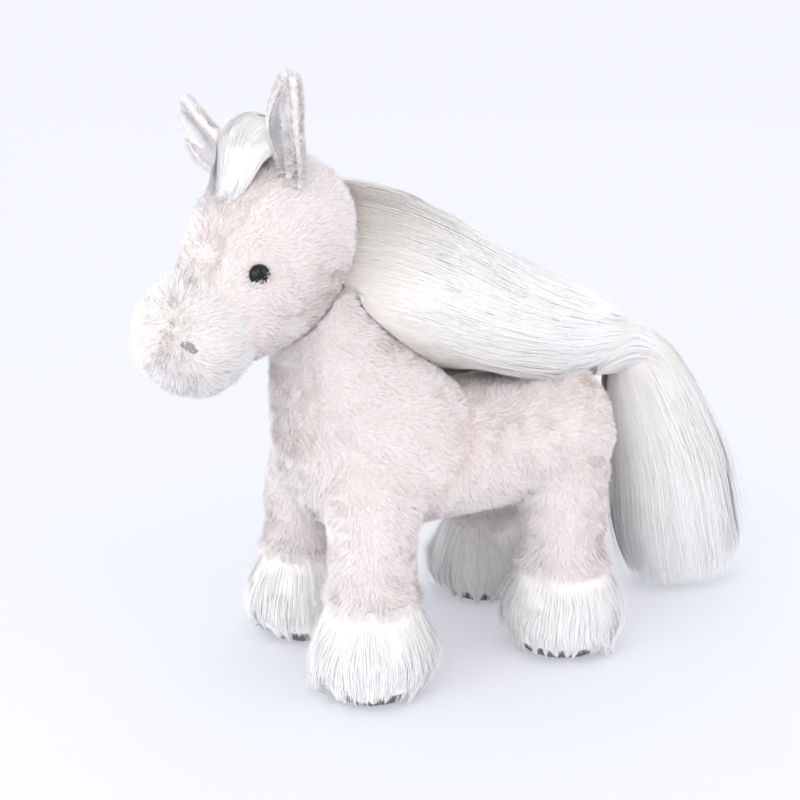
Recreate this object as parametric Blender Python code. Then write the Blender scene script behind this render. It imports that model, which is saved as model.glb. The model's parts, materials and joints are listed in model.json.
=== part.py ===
"""A standing plush horse, 33 cm tall, in metres with +Z up.

It faces -Y with its left side at +X, and stands on its four soles at z = 0. Heights and the
places along Y are measured from the point on the floor midway between its front hooves, and
one empty then moves the whole animal so that the origin is under the middle of its length.
"""

import math

import bmesh
import bpy
from mathutils import Matrix, Vector

# Fits
GAP = 0.0003
OVERRUN = 0.006
SKIN = 0.004
SHARP_ANGLE = math.radians(40.0)

# The whole animal, from the front hooves
NOSE_REACH = 0.1128
TAIL_REACH = 0.2815

# Stance
HOOF_SPACING = 0.122
HOOF_SPREAD = 0.088
LEG_WIDTH = 0.048
LEG_HEIGHT = 0.142
CUFF_SEAM_HEIGHT = 0.056

# Body
BODY_LENGTH = 0.204
BODY_WIDTH = 0.118
BACK_HEIGHT = 0.156
BODY_SEGMENTS = 24
BODY_RINGS = 11

# Each row is one section, from the crest's point to the throat's, chest's or belly's point:
# y and height of both ends, then the half width. Places along Y are shares of the body's
# length, heights of the back's height and half widths of half the body's width.
NECK_SECTION_SHARES = (
    (0.045, 1.42, -0.180, 1.37, 0.49),
    (0.088, 1.31, -0.174, 1.25, 0.53),
    (0.150, 1.22, -0.172, 1.12, 0.60),
    (0.215, 1.15, -0.172, 0.94, 0.71),
    (0.280, 1.08, -0.155, 0.73, 0.86),
    (0.322, 1.03, -0.090, 0.56, 0.96),
    (0.350, 1.00, 0.060, 0.512, 1.00),
)
BARREL_SECTION_SHARES = (
    NECK_SECTION_SHARES[-1],
    (0.44, 0.99, 0.26, 0.512, 1.02),
    (0.53, 1.00, 0.43, 0.525, 1.02),
    (0.62, 1.02, 0.58, 0.545, 1.01),
    (0.69, 1.03, 0.69, 0.57, 0.95),
    (0.745, 1.00, 0.76, 0.62, 0.80),
    (0.78, 0.93, 0.79, 0.70, 0.50),
)

# Each row is one level section of a leg, from the cuff's seam up: its height as a share of the
# leg's height, how far it leans in and back as shares of its width, and its half widths across
# and along the animal as shares of half its width.
FRONT_LEG_SECTION_SHARES = (
    (0.394, 0.00, 0.00, 1.00, 1.00),
    (0.56, 0.02, 0.01, 1.00, 1.02),
    (0.70, 0.07, 0.06, 1.02, 1.10),
    (0.83, 0.15, 0.15, 0.96, 1.18),
    (0.93, 0.25, 0.24, 0.80, 1.08),
    (1.00, 0.33, 0.28, 0.50, 0.75),
)
HIND_LEG_SECTION_SHARES = (
    (0.394, 0.00, 0.00, 1.00, 1.00),
    (0.56, 0.02, 0.00, 1.00, 1.04),
    (0.70, 0.07, 0.00, 1.02, 1.16),
    (0.83, 0.15, -0.02, 0.96, 1.30),
    (0.93, 0.25, -0.06, 0.80, 1.20),
    (1.00, 0.33, -0.08, 0.50, 0.80),
)
LEG_SEGMENTS = 18
LEG_RINGS = 7

# Hoof, from the floor up
SOLE_RADIUS = 0.0225
SOLE_THICKNESS = 0.005
BOARD_CLEARANCE = 0.0005
BOARD_THICKNESS = 0.0015
POUCH_CLEARANCE = 0.0008
POUCH_HEIGHT = 0.024
POUCH_ROUNDING = 0.006
POUCH_ROUNDING_STEPS = 3
HOOF_SEGMENTS = 20

# Fetlock cuff: one side of its bell of long pile, as shares of its half width and of the
# height of its seam
CUFF_WIDTH = 0.078
CUFF_LIFT = 0.001
CUFF_BELL_SHARES = (
    (0.64, 1.00),
    (0.80, 0.92),
    (0.93, 0.74),
    (1.00, 0.50),
    (0.98, 0.26),
    (0.90, 0.08),
    (0.80, 0.00),
)

# Head. Its own axis runs from the back of the skull, down and forward to the nose. The rows
# give the place along the axis, then the forehead's and the jaw's distances from it and the
# half width, as shares of the head's length, depth and half its width.
SKULL_BACK_Y = 0.0047
SKULL_BACK_HEIGHT = 0.266
HEAD_PIVOT_REACH = 0.008
HEAD_PIVOT_HEIGHT = 0.222
HEAD_LENGTH = 0.1376
HEAD_DEPTH = 0.090
HEAD_WIDTH = 0.080
HEAD_SLOPE = math.radians(27.2)
HEAD_TURN = math.radians(12.0)
HEAD_TILT = math.radians(4.0)
SKULL_SECTION_SHARES = (
    (0.02, 0.16, -0.10, 0.36),
    (0.07, 0.31, -0.22, 0.64),
    (0.14, 0.40, -0.33, 0.83),
    (0.25, 0.47, -0.45, 0.96),
    (0.36, 0.48, -0.51, 1.00),
    (0.47, 0.43, -0.53, 0.95),
    (0.59, 0.32, -0.50, 0.84),
    (0.72, 0.17, -0.445, 0.72),
)
MUZZLE_SECTION_SHARES = (
    SKULL_SECTION_SHARES[-1],
    (0.78, 0.19, -0.46, 0.80),
    (0.85, 0.17, -0.45, 0.83),
    (0.92, 0.10, -0.42, 0.77),
    (0.97, 0.00, -0.36, 0.58),
    (1.00, -0.09, -0.28, 0.30),
)
MUZZLE_RINGS = 7
SURFACE_STEP = math.radians(4.0)

# Eye: a moulded dome with a shank through the skin, held by a lock washer inside
EYE_RADIUS = 0.0054
EYE_DOME_SHARE = 0.85
EYE_SUNK = 0.0012
EYE_RIM = 0.0008
EYE_PLACE_SHARE = 0.605
EYE_ANGLE = math.radians(20.0)
SHANK_RADIUS = 0.0015
SHANK_LENGTH = 0.010
WASHER_RADIUS = 0.0052
WASHER_THICKNESS = 0.0012
EYE_SEGMENTS = 18
EYE_DOME_STEPS = 5

# Nostril: a pad of satin stitch
NOSTRIL_LENGTH = 0.009
NOSTRIL_WIDTH = 0.005
NOSTRIL_THICKNESS = 0.0012
NOSTRIL_PLACE_SHARE = 0.90
NOSTRIL_ANGLE = math.radians(29.0)
NOSTRIL_SLANT = math.radians(25.0)
# From its inner face out: shares of half its thickness, then of its length and width
NOSTRIL_SECTION_SHARES = ((-1.0, 0.55), (-0.5, 0.92), (0.0, 1.0), (0.5, 0.85), (1.0, 0.45))

# Ear: a plush back and a grey lining, both leaves that curl round the ear's axis
EAR_LENGTH = 0.050
EAR_WIDTH = 0.024
EAR_PLACE_SHARE = 0.33
EAR_ANGLE = math.radians(50.0)
# How far each ear leans forward and outward
EAR_LEANS = {
    "left": (math.radians(10.0), math.radians(18.0)),
    "right": (math.radians(2.0), math.radians(50.0)),
}
EAR_OPENING = math.radians(5.0)
EAR_BACK_THICKNESS = 0.0036
EAR_LINING_THICKNESS = 0.0012
EAR_CURL = math.radians(75.0)
EAR_CURL_REACH_SHARE = 0.75
EAR_LINING_SHARE = 0.88
EAR_FOOT = 0.008
EAR_FOLD_HEIGHT = 0.0045
EAR_FOLD_LIMITS = {"back": math.radians(-45.0), "forward": math.radians(25.0)}
EAR_CLEARANCE = 0.0009
# Half widths up the ear, as shares of half its width
EAR_OUTLINE_SHARES = (0.50, 0.62, 0.80, 0.96, 1.00, 0.94, 0.78, 0.52, 0.20)
EAR_COLUMNS = 6

# Forelock, in the head's shares
FORELOCK_SECTION_SHARES = (
    (0.13, 0.50, 0.24, 0.16),
    (0.17, 0.64, 0.27, 0.26),
    (0.23, 0.73, 0.30, 0.30),
    (0.30, 0.75, 0.32, 0.32),
    (0.37, 0.69, 0.32, 0.34),
    (0.43, 0.58, 0.30, 0.32),
    (0.48, 0.45, 0.26, 0.20),
)
LOCK_SEGMENTS = 18
LOCK_RINGS = 9

# Mane: upright sections from the poll to the loin, as places along Y, top and bottom heights
# and half widths, in shares of its length, of the back's height and of half its width
MANE_START_Y = 0.002
MANE_LENGTH = 0.156
MANE_WIDTH = 0.054
MANE_SECTION_SHARES = (
    (0.00, 1.80, 1.66, 0.28),
    (0.07, 1.78, 1.40, 0.46),
    (0.16, 1.71, 1.22, 0.64),
    (0.27, 1.63, 1.12, 0.80),
    (0.40, 1.55, 1.04, 0.92),
    (0.54, 1.46, 0.98, 1.00),
    (0.68, 1.38, 0.97, 1.00),
    (0.82, 1.29, 0.99, 0.88),
    (0.93, 1.22, 1.03, 0.66),
    (1.00, 1.14, 1.07, 0.34),
)

# Tail, hung from a tape sewn into the rump's seam. Rows: the y and height of the inner point,
# then of the outer point, and the half width, from the tape's end. Places are shares of the
# tail's drop and sweep, and half widths of half its width.
TAPE_LENGTH = 0.009
TAPE_WIDTH = 0.014
TAPE_THICKNESS = 0.002
TAPE_RISE = math.radians(30.0)
TAIL_ROOT_RADIUS = 0.0055
TAIL_DROP = 0.160
TAIL_SWEEP = 0.108
TAIL_WIDTH = 0.054
TAIL_SECTION_SHARES = (
    (0.08, -0.04, 0.13, 0.12, 0.46),
    (0.09, -0.15, 0.35, 0.07, 0.66),
    (0.11, -0.31, 0.58, -0.10, 0.84),
    (0.14, -0.47, 0.74, -0.29, 0.96),
    (0.17, -0.63, 0.86, -0.48, 1.00),
    (0.24, -0.78, 0.96, -0.68, 0.96),
    (0.37, -0.89, 1.01, -0.83, 0.80),
    (0.53, -0.935, 0.91, -0.91, 0.48),
)

FLOOR_MIDDLE = Vector((0.0, (TAIL_REACH - NOSE_REACH) / 2.0, 0.0))
SIDES = (("left", 1.0), ("right", -1.0))


def clear_scene():
    for item in list(bpy.data.objects):
        bpy.data.objects.remove(item, do_unlink=True)


def material(name, colour, roughness, sheen):
    made = bpy.data.materials.new(name)
    made.use_nodes = True
    shader = made.node_tree.nodes["Principled BSDF"]
    shader.inputs["Base Color"].default_value = (*colour, 1.0)
    shader.inputs["Roughness"].default_value = roughness
    shader.inputs["Metallic"].default_value = 0.0
    shader.inputs["Sheen Weight"].default_value = sheen
    return made


def empty(name, location, parent=None, turn=None):
    made = bpy.data.objects.new(name, None)
    bpy.context.collection.objects.link(made)
    made.parent = parent
    made.location = location
    if turn is not None:
        made.rotation_euler = turn
    return made


def add_object(name, mesh, parent, finish=None, offset=Vector()):
    """Links a mesh as an object under its parent. Without a finish it is a cutter."""
    made = bpy.data.objects.new(name, mesh)
    bpy.context.collection.objects.link(made)
    made.parent = parent
    made.location = offset
    if finish is None:
        made.hide_render = True
        made.display_type = "WIRE"
    else:
        colour, roughness, sheen = finish
        mesh.materials.append(material(name, colour, roughness, sheen))
    return made


def cut(target, *cutters):
    """Takes the cutters away from the target. Those of one target all work in one step."""
    group_name = "cut_from_" + target.name
    step = target.modifiers.get(group_name)
    if step is None:
        step = target.modifiers.new(group_name, "BOOLEAN")
        step.operation = "DIFFERENCE"
        step.solver = "EXACT"
        step.operand_type = "COLLECTION"
        step.collection = bpy.data.collections.new(group_name)
    for cutter in cutters:
        step.collection.objects.link(cutter)


def finish_mesh(name, bm):
    bmesh.ops.recalc_face_normals(bm, faces=bm.faces)
    mesh = bpy.data.meshes.new(name)
    bm.to_mesh(mesh)
    bm.free()
    mesh.shade_smooth()
    mesh.set_sharp_from_angle(angle=SHARP_ANGLE)
    return mesh


def lofted(name, rings):
    """A closed mesh through rings of points. A ring of one point closes an end to a tip."""
    bm = bmesh.new()
    loops = [[bm.verts.new(point) for point in ring] for ring in rings]
    for here, after in zip(loops, loops[1:]):
        count = max(len(here), len(after))
        for k in range(count):
            corners = [here[k % len(here)], here[(k + 1) % len(here)]]
            corners += [after[(k + 1) % len(after)], after[k % len(after)]]
            bm.faces.new(dict.fromkeys(corners))
    for end in (loops[0], loops[-1]):
        if len(end) > 1:
            bm.faces.new(end)
    return finish_mesh(name, bm)


def turned(name, profile, segments, closed=False):
    """Turns a profile of (radius, height) points round Z. A closed one makes a ring."""
    rings = []
    for radius, height in profile:
        count = segments if radius > 0.0 else 1
        angles = [math.tau * k / segments for k in range(count)]
        rings.append([Vector((radius * math.cos(a), radius * math.sin(a), height)) for a in angles])
    if not closed:
        return lofted(name, rings)
    bm = bmesh.new()
    loops = [[bm.verts.new(point) for point in ring] for ring in rings]
    for here, after in zip(loops, loops[1:] + loops[:1]):
        for k in range(segments):
            m = (k + 1) % segments
            bm.faces.new((here[k], here[m], after[m], after[k]))
    return finish_mesh(name, bm)


def between(rows, count):
    """Count rows along the smooth curve that passes through the given rows."""
    found = []
    for k in range(count):
        place = k * (len(rows) - 1) / (count - 1)
        i = min(int(place), len(rows) - 2)
        t = place - i
        before, after = max(i - 1, 0), min(i + 2, len(rows) - 1)
        row = []
        for a, b, c, d in zip(rows[before], rows[i], rows[i + 1], rows[after]):
            bend = (2 * a - 5 * b + 4 * c - d) * t * t + (3 * b - a - 3 * c + d) * t * t * t
            row.append((2 * b + (c - a) * t + bend) / 2)
        found.append(row)
    return found


class Section:
    """An oval across the animal: its upper and lower points in the YZ plane, its half width
    and the way its form runs on."""

    def __init__(self, top, bottom, half_width, onward):
        self.top = top
        self.bottom = bottom
        self.half_width = half_width
        self.onward = onward

    def grown(self, by, shift):
        """The same oval, wider all round by one length and moved along its form by another."""
        out = (self.top - self.bottom).normalized() * by
        along = self.onward * shift
        top = self.top + out + along
        return Section(top, self.bottom - out + along, self.half_width + by, self.onward)

    def point(self, angle):
        """The point at an angle from the left side's middle towards the top."""
        middle = (self.top + self.bottom) / 2
        arm = (self.top - self.bottom) / 2 * math.sin(angle)
        place = middle + arm
        return Vector((self.half_width * math.cos(angle), place.x, place.y))

    def ring(self, segments):
        return [self.point(math.tau * (k + 0.5) / segments) for k in range(segments)]


def sections_from(rows, count):
    """Sections from rows of upper y and height, lower y and height, and half width."""
    made = []
    for y_top, z_top, y_bottom, z_bottom, half_width in between(rows, count):
        made.append(Section(Vector((y_top, z_top)), Vector((y_bottom, z_bottom)), half_width, None))
    middles = [(s.top + s.bottom) / 2 for s in made]
    for i, section in enumerate(made):
        course = middles[min(i + 1, count - 1)] - middles[max(i - 1, 0)]
        across = (section.top - section.bottom).normalized()
        section.onward = (course - across * course.dot(across)).normalized()
    return made


def ended(rings, first, last, start, end):
    """Sets the end rings of a run in place of its own, or beyond them where an end runs out."""
    inner = rings[0 if start > 0.0 else 1 : len(rings) if end > 0.0 else -1]
    return [first] + inner + [last]


def form(name, sections, segments, by=0.0, start=0.0, end=0.0):
    """The closed mesh of a run of sections, grown all round, with both ends run out or in."""
    rings = [section.grown(by, 0.0).ring(segments) for section in sections]
    first = sections[0].grown(by, -start).ring(segments)
    last = sections[-1].grown(by, end).ring(segments)
    return lofted(name, ended(rings, first, last, start, end))


def body_rows(shares):
    length, height, half = BODY_LENGTH, BACK_HEIGHT, BODY_WIDTH / 2
    return [(a * length, b * height, c * length, d * height, w * half) for a, b, c, d, w in shares]


def on_head_axis(along, off):
    """The YZ place at a distance along the head's axis and one square to it, towards the brow."""
    slope_cos, slope_sin = math.cos(HEAD_SLOPE), math.sin(HEAD_SLOPE)
    y = SKULL_BACK_Y - along * slope_cos - off * slope_sin
    return y, SKULL_BACK_HEIGHT - along * slope_sin + off * slope_cos


def head_rows(shares):
    rows = []
    for along, top, bottom, width in shares:
        upper = on_head_axis(along * HEAD_LENGTH, top * HEAD_DEPTH)
        lower = on_head_axis(along * HEAD_LENGTH, bottom * HEAD_DEPTH)
        rows.append((*upper, *lower, width * HEAD_WIDTH / 2))
    return rows


def head_place(sections, shares, place_share, angle, side):
    """A point on the head's surface and the matrix whose Z is the outward normal there, whose
    X runs forward along the surface."""
    first, last = shares[0][0], shares[-1][0]
    place = (place_share - first) / (last - first) * (len(sections) - 1)
    near = sections[max(int(place) - 1, 0)], sections[min(int(place) + 2, len(sections) - 1)]
    i = min(int(place), len(sections) - 2)
    t = place - i
    point = sections[i].point(angle).lerp(sections[i + 1].point(angle), t)
    forward = (near[1].point(angle) - near[0].point(angle)).normalized()
    round_it = sections[i].point(angle + SURFACE_STEP) - sections[i].point(angle - SURFACE_STEP)
    normal = forward.cross(round_it).normalized()
    if normal.x < 0:
        normal.negate()
    mirror = Matrix.Diagonal((side, 1.0, 1.0))
    point, normal, forward = mirror @ point, mirror @ normal, mirror @ forward
    axes = Matrix((forward, normal.cross(forward), normal)).transposed()
    return Matrix.Translation(point) @ axes.to_4x4()


def build_body(root):
    """Neck and shoulders, and barrel and rump: two skins that meet at the girth's seam, and
    their stuffing."""
    half_gap = GAP / 2
    inside = -SKIN - GAP
    neck = sections_from(body_rows(NECK_SECTION_SHARES), BODY_RINGS)
    barrel = sections_from(body_rows(BARREL_SECTION_SHARES), BODY_RINGS)
    barrel[0].onward = neck[-1].onward

    def body_object(name, sections, by, start, end, finish=None):
        mesh = form(name, sections, BODY_SEGMENTS, by, start, end)
        return add_object(name, mesh, root, finish)

    outside = body_object("body_outside", neck + barrel[1:], GAP, GAP, GAP)
    neck_hollow = body_object("neck_hollow", neck, -SKIN, OVERRUN, OVERRUN)
    barrel_hollow = body_object("barrel_hollow", barrel[:-1], -SKIN, OVERRUN, 0.0)
    neck_skin = body_object("neck_and_shoulder_skin", neck, 0.0, 0.0, -half_gap, SHORT_PLUSH)
    barrel_skin = body_object("barrel_skin", barrel, 0.0, -half_gap, 0.0, SHORT_PLUSH)
    cut(neck_skin, neck_hollow)
    cut(barrel_skin, barrel_hollow)
    neck_filling = body_object(
        "neck_and_shoulder_stuffing", neck, inside, 0.0, -half_gap, STUFFING
    )
    body_object("barrel_stuffing", barrel[:-1], inside, -half_gap, -GAP, STUFFING)
    return outside, (neck_skin, neck_filling)


def build_leg(root, name, shares, side, y, body):
    """One leg from the cuff's seam up into the body: its skin and its stuffing."""
    rows = []
    for height, inward, back, across, along in shares:
        x = HOOF_SPREAD / 2 - inward * LEG_WIDTH
        half = LEG_WIDTH / 2
        rows.append((x, back * LEG_WIDTH, height * LEG_HEIGHT, across * half, along * half))
    rows = between(rows, LEG_RINGS)

    def leg_ring(row, by, rise):
        x, back, z, across, along = row
        ring = []
        for k in range(LEG_SEGMENTS):
            angle = math.tau * k / LEG_SEGMENTS
            across_at = x + (across + by) * math.cos(angle)
            along_at = y + back + (along + by) * math.sin(angle)
            ring.append(Vector((side * across_at, along_at, z + rise)))
        return ring

    def leg_object(part_name, by, start, end, finish=None):
        rings = [leg_ring(row, by, 0.0) for row in rows]
        first, last = leg_ring(rows[0], by, -start), leg_ring(rows[-1], by, end)
        mesh = lofted(part_name, ended(rings, first, last, start, end))
        return add_object(part_name, mesh, root, finish)

    pouch_top = SOLE_THICKNESS + BOARD_THICKNESS + POUCH_HEIGHT + 3 * GAP
    reach = CUFF_SEAM_HEIGHT - pouch_top
    skin = leg_object(name + "_leg_skin", 0.0, -GAP, 0.0, SHORT_PLUSH)
    hollow = leg_object(name + "_leg_hollow", -SKIN, OVERRUN, OVERRUN)
    core = leg_object(name + "_leg_stuffing", -SKIN - GAP, reach, -SKIN, STUFFING)
    cut(skin, hollow, body)
    cut(core, body)


def disc_profile(radius, low, high):
    return [(0.0, low), (radius, low), (radius, high), (0.0, high)]


def pouch_profile(low):
    """A drum with rounded rims."""
    high = low + POUCH_HEIGHT
    flat = LEG_WIDTH / 2 - SKIN - POUCH_CLEARANCE - POUCH_ROUNDING
    lower, upper = [(0.0, low)], [(0.0, high)]
    for k in range(POUCH_ROUNDING_STEPS + 1):
        angle = math.pi / 2 * k / POUCH_ROUNDING_STEPS
        radius = flat + POUCH_ROUNDING * math.sin(angle)
        rise = POUCH_ROUNDING * (1 - math.cos(angle))
        lower.append((radius, low + rise))
        upper.append((radius, high - rise))
    return lower + upper[::-1]


def build_hoof(root, name, side, y):
    """Sole, sole board, pellet pouch and the cuff of long pile round them."""
    at = Vector((side * HOOF_SPREAD / 2, y, 0.0))
    board_low = SOLE_THICKNESS + GAP
    board_high = board_low + BOARD_THICKNESS
    board_radius = LEG_WIDTH / 2 - SKIN - BOARD_CLEARANCE
    for part_name, profile, finish in (
        (name + "_sole", disc_profile(SOLE_RADIUS, 0.0, SOLE_THICKNESS), GREY_PLUSH),
        (name + "_sole_board", disc_profile(board_radius, board_low, board_high), BOARD),
        (name + "_pellet_pouch", pouch_profile(board_high + GAP), POUCH),
    ):
        add_object(part_name, turned(part_name, profile, HOOF_SEGMENTS), root, finish, at)
    add_object(name + "_cuff", cuff_mesh(name + "_cuff"), root, LONG_PILE, at)


def cuff_mesh(name):
    reach = CUFF_SEAM_HEIGHT - GAP - CUFF_LIFT
    bell = [(r * CUFF_WIDTH / 2, CUFF_LIFT + z * reach) for r, z in CUFF_BELL_SHARES]
    bore = LEG_WIDTH / 2 - SKIN
    over_sole = SOLE_THICKNESS + GAP
    inner = [(SOLE_RADIUS + GAP, CUFF_LIFT), (SOLE_RADIUS + GAP, over_sole), (bore, over_sole)]
    inner += [(bore, CUFF_SEAM_HEIGHT - GAP)]
    return turned(name, bell + inner, HOOF_SEGMENTS, closed=True)


def build_head(head, offset, neck_parts):
    """Head and muzzle skins with their stuffing, eyes, nostrils and forelock."""
    skull = sections_from(head_rows(SKULL_SECTION_SHARES), BODY_RINGS)
    muzzle = sections_from(head_rows(MUZZLE_SECTION_SHARES), MUZZLE_RINGS)
    muzzle[0].onward = skull[-1].onward
    half_gap = GAP / 2

    def head_object(name, sections, by, start, end, finish=None):
        mesh = form(name, sections, BODY_SEGMENTS, by, start, end)
        return add_object(name, mesh, head, finish, offset)

    outside = head_object("skull_outside", skull, GAP, GAP, 0.0)
    ear_room = head_object("ear_room", skull, EAR_CLEARANCE, EAR_CLEARANCE, 0.0)
    skull_hollow = head_object("skull_hollow", skull[1:], -SKIN, 0.0, OVERRUN)
    muzzle_hollow = head_object("muzzle_hollow", muzzle[:-1], -SKIN, OVERRUN, 0.0)
    head_skin = head_object("head_skin", skull, 0.0, 0.0, -half_gap, SHORT_PLUSH)
    muzzle_skin = head_object("muzzle_skin", muzzle, 0.0, -half_gap, 0.0, MUZZLE_PLUSH)
    cut(head_skin, skull_hollow)
    cut(muzzle_skin, muzzle_hollow)
    inner = skull[1:] + muzzle[1:-1]
    head_filling = head_object("head_stuffing", inner, -SKIN - GAP, -GAP, -GAP, STUFFING)
    for part in neck_parts:
        cut(part, outside)
    for side_name, side in SIDES:
        eye_at = head_place(skull, SKULL_SECTION_SHARES, EYE_PLACE_SHARE, EYE_ANGLE, side)
        socket, shaft_room = build_eye(head, offset, side_name, eye_at)
        cut(head_skin, socket)
        cut(head_filling, shaft_room)
        nostril_place = (NOSTRIL_PLACE_SHARE, NOSTRIL_ANGLE, side)
        nostril_at = head_place(muzzle, MUZZLE_SECTION_SHARES, *nostril_place)
        cut(muzzle_skin, build_nostril(head, offset, side_name, nostril_at, side))
    locks = sections_from(head_rows(FORELOCK_SECTION_SHARES), LOCK_RINGS)
    forelock = form("forelock", locks, LOCK_SEGMENTS)
    cut(add_object("forelock", forelock, head, LONG_PILE, offset), outside)
    return skull, outside, ear_room


def placed(made, offset, at):
    """Sets an object where the matrix says, from the head's own origin."""
    made.matrix_local = Matrix.Translation(offset) @ at
    return made


def build_eye(head, offset, side_name, at):
    """The eye with its shank along -Z, and its washer. Returns the cutters of their seats."""
    rim = -EYE_SUNK
    dome = EYE_RADIUS * EYE_DOME_SHARE
    profile = [(0.0, rim + EYE_RIM + dome)]
    for k in range(1, EYE_DOME_STEPS + 1):
        angle = math.pi / 2 * k / EYE_DOME_STEPS
        profile.append((EYE_RADIUS * math.sin(angle), rim + EYE_RIM + dome * math.cos(angle)))
    profile += [(EYE_RADIUS, rim), (SHANK_RADIUS, rim), (SHANK_RADIUS, rim - SHANK_LENGTH)]
    profile += [(0.0, rim - SHANK_LENGTH)]
    eye = turned(side_name + "_eye", profile, EYE_SEGMENTS)
    placed(add_object(side_name + "_eye", eye, head, EYE_GLOSS), offset, at)
    hole = SHANK_RADIUS + GAP
    top = -SKIN - 2 * GAP
    low = top - WASHER_THICKNESS
    ring = [(hole, low), (WASHER_RADIUS, low), (WASHER_RADIUS, top), (hole, top)]
    washer = turned(side_name + "_eye_washer", ring, EYE_SEGMENTS, closed=True)
    placed(add_object(side_name + "_eye_washer", washer, head, WASHER), offset, at)
    wide = EYE_RADIUS + GAP
    through = -SKIN - OVERRUN
    seat = [(0.0, OVERRUN), (wide, OVERRUN), (wide, rim - GAP), (hole, rim - GAP), (hole, through)]
    seat.append((0.0, through))
    socket_name = side_name + "_eye_seat"
    socket = add_object(socket_name, turned(socket_name, seat, EYE_SEGMENTS), head)
    wide = WASHER_RADIUS + GAP
    deep = rim - SHANK_LENGTH - GAP
    room = [(0.0, OVERRUN), (wide, OVERRUN), (wide, low - GAP), (hole, low - GAP), (hole, deep)]
    room.append((0.0, deep))
    room_name = side_name + "_washer_seat"
    washer_room = add_object(room_name, turned(room_name, room, EYE_SEGMENTS), head)
    return placed(socket, offset, at), placed(washer_room, offset, at)


def build_nostril(head, offset, side_name, at, side):
    """A lens of stitches, set into the pile. Returns the cutter of its seat."""
    slant = Matrix.Rotation(side * NOSTRIL_SLANT, 4, "Z")

    def pad(name, by):
        rings = []
        for level, share in NOSTRIL_SECTION_SHARES:
            half_long = NOSTRIL_LENGTH / 2 * share + by
            half_wide = NOSTRIL_WIDTH / 2 * share + by
            z = level * (NOSTRIL_THICKNESS / 2 + by)
            angles = [math.tau * k / EYE_SEGMENTS for k in range(EYE_SEGMENTS)]
            rings.append([Vector((half_long * math.cos(a), half_wide * math.sin(a), z)) for a in angles])
        return lofted(name, rings)

    stitches = add_object(side_name + "_nostril", pad(side_name + "_nostril", 0.0), head, GREY_THREAD)
    placed(stitches, offset, at @ slant)
    seat = add_object(side_name + "_nostril_seat", pad(side_name + "_nostril_seat", GAP), head)
    return placed(seat, offset, at @ slant)


def ear_curve(height):
    """The ear's half width and the angle that it curls through, at a height above its seam."""
    last = len(EAR_OUTLINE_SHARES) - 1
    place = max(height, 0.0) / EAR_LENGTH * last
    i = min(int(place), last - 1)
    here, after = EAR_OUTLINE_SHARES[i], EAR_OUTLINE_SHARES[i + 1]
    share = here + (after - here) * (place - i)
    curl = EAR_CURL * math.sin(math.pi * EAR_CURL_REACH_SHARE * (place + 0.5) / (last + 1))
    return EAR_WIDTH / 2 * share, curl


def ear_leaf(name, inner, outer, size_share, foot):
    """A leaf between two depths of the curled ear, which opens towards -Y. Its foot is the
    height of its lower edge."""
    rings = []
    for j, share in enumerate(EAR_OUTLINE_SHARES):
        up = foot + (EAR_LENGTH * size_share - foot) * j / (len(EAR_OUTLINE_SHARES) - 1)
        half, curl = ear_curve(up)
        radius = half / curl
        reach = EAR_WIDTH / 2 * share * size_share / radius
        ring = []
        for depth, columns in ((inner, range(EAR_COLUMNS + 1)), (outer, range(EAR_COLUMNS, -1, -1))):
            for i in columns:
                angle = (2 * i / EAR_COLUMNS - 1) * reach
                x = (radius + depth) * math.sin(angle)
                ring.append(Vector((x, (radius + depth) * math.cos(angle) - radius, up)))
        rings.append(ring)
    return lofted(name, rings)


def build_ear(head, offset, side_name, side, skull, clear_of, forward_lean, outward_lean):
    """An ear on its own empty, whose X lies across the head: the line that it folds about."""
    seat = head_place(skull, SKULL_SECTION_SHARES, EAR_PLACE_SHARE, EAR_ANGLE, side)
    forward, across, up = (seat.col[i].xyz for i in range(3))
    fold = Matrix((across, -forward, up)).transposed().to_4x4()
    hinge = empty("ear_hinge_" + side_name, Vector(), head)
    hinge_at = Matrix.Translation(offset + seat.translation + up * EAR_FOLD_HEIGHT) @ fold
    hinge.matrix_local = hinge_at
    rooms = [clear_of]
    for limit_name, limit in EAR_FOLD_LIMITS.items():
        room = add_object(f"ear_room_{side_name}_{limit_name}", clear_of.data, hinge)
        turned_back = Matrix.Rotation(-limit, 4, "X") @ hinge_at.inverted()
        room.matrix_local = turned_back @ Matrix.Translation(offset)
        rooms.append(room)
    stand = Matrix.Rotation(forward_lean, 4, "X") @ Matrix.Rotation(side * EAR_OPENING, 4, "Z")
    stand = Matrix.Rotation(side * outward_lean, 4, "Y") @ stand
    for name, inner, outer, size_share, foot, finish in (
        ("ear_back_", GAP, GAP + EAR_BACK_THICKNESS, 1.0, -EAR_FOOT, EAR_PLUSH),
        ("ear_lining_", -GAP - EAR_LINING_THICKNESS, -GAP, EAR_LINING_SHARE, 0.0, EAR_VELOUR),
    ):
        leaf = ear_leaf(name + side_name, inner, outer, size_share, foot)
        layer = add_object(name + side_name, leaf, hinge, finish)
        layer.matrix_local = fold.inverted() @ stand
        cut(layer, *rooms)


def build_mane(root, cutters):
    rows = []
    for along, top, bottom, width in MANE_SECTION_SHARES:
        y = MANE_START_Y + along * MANE_LENGTH
        rows.append((y, top * BACK_HEIGHT, y, bottom * BACK_HEIGHT, width * MANE_WIDTH / 2))
    mane = form("mane", sections_from(rows, BODY_RINGS), LOCK_SEGMENTS)
    cut(add_object("mane", mane, root, LONG_PILE), *cutters)


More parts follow.
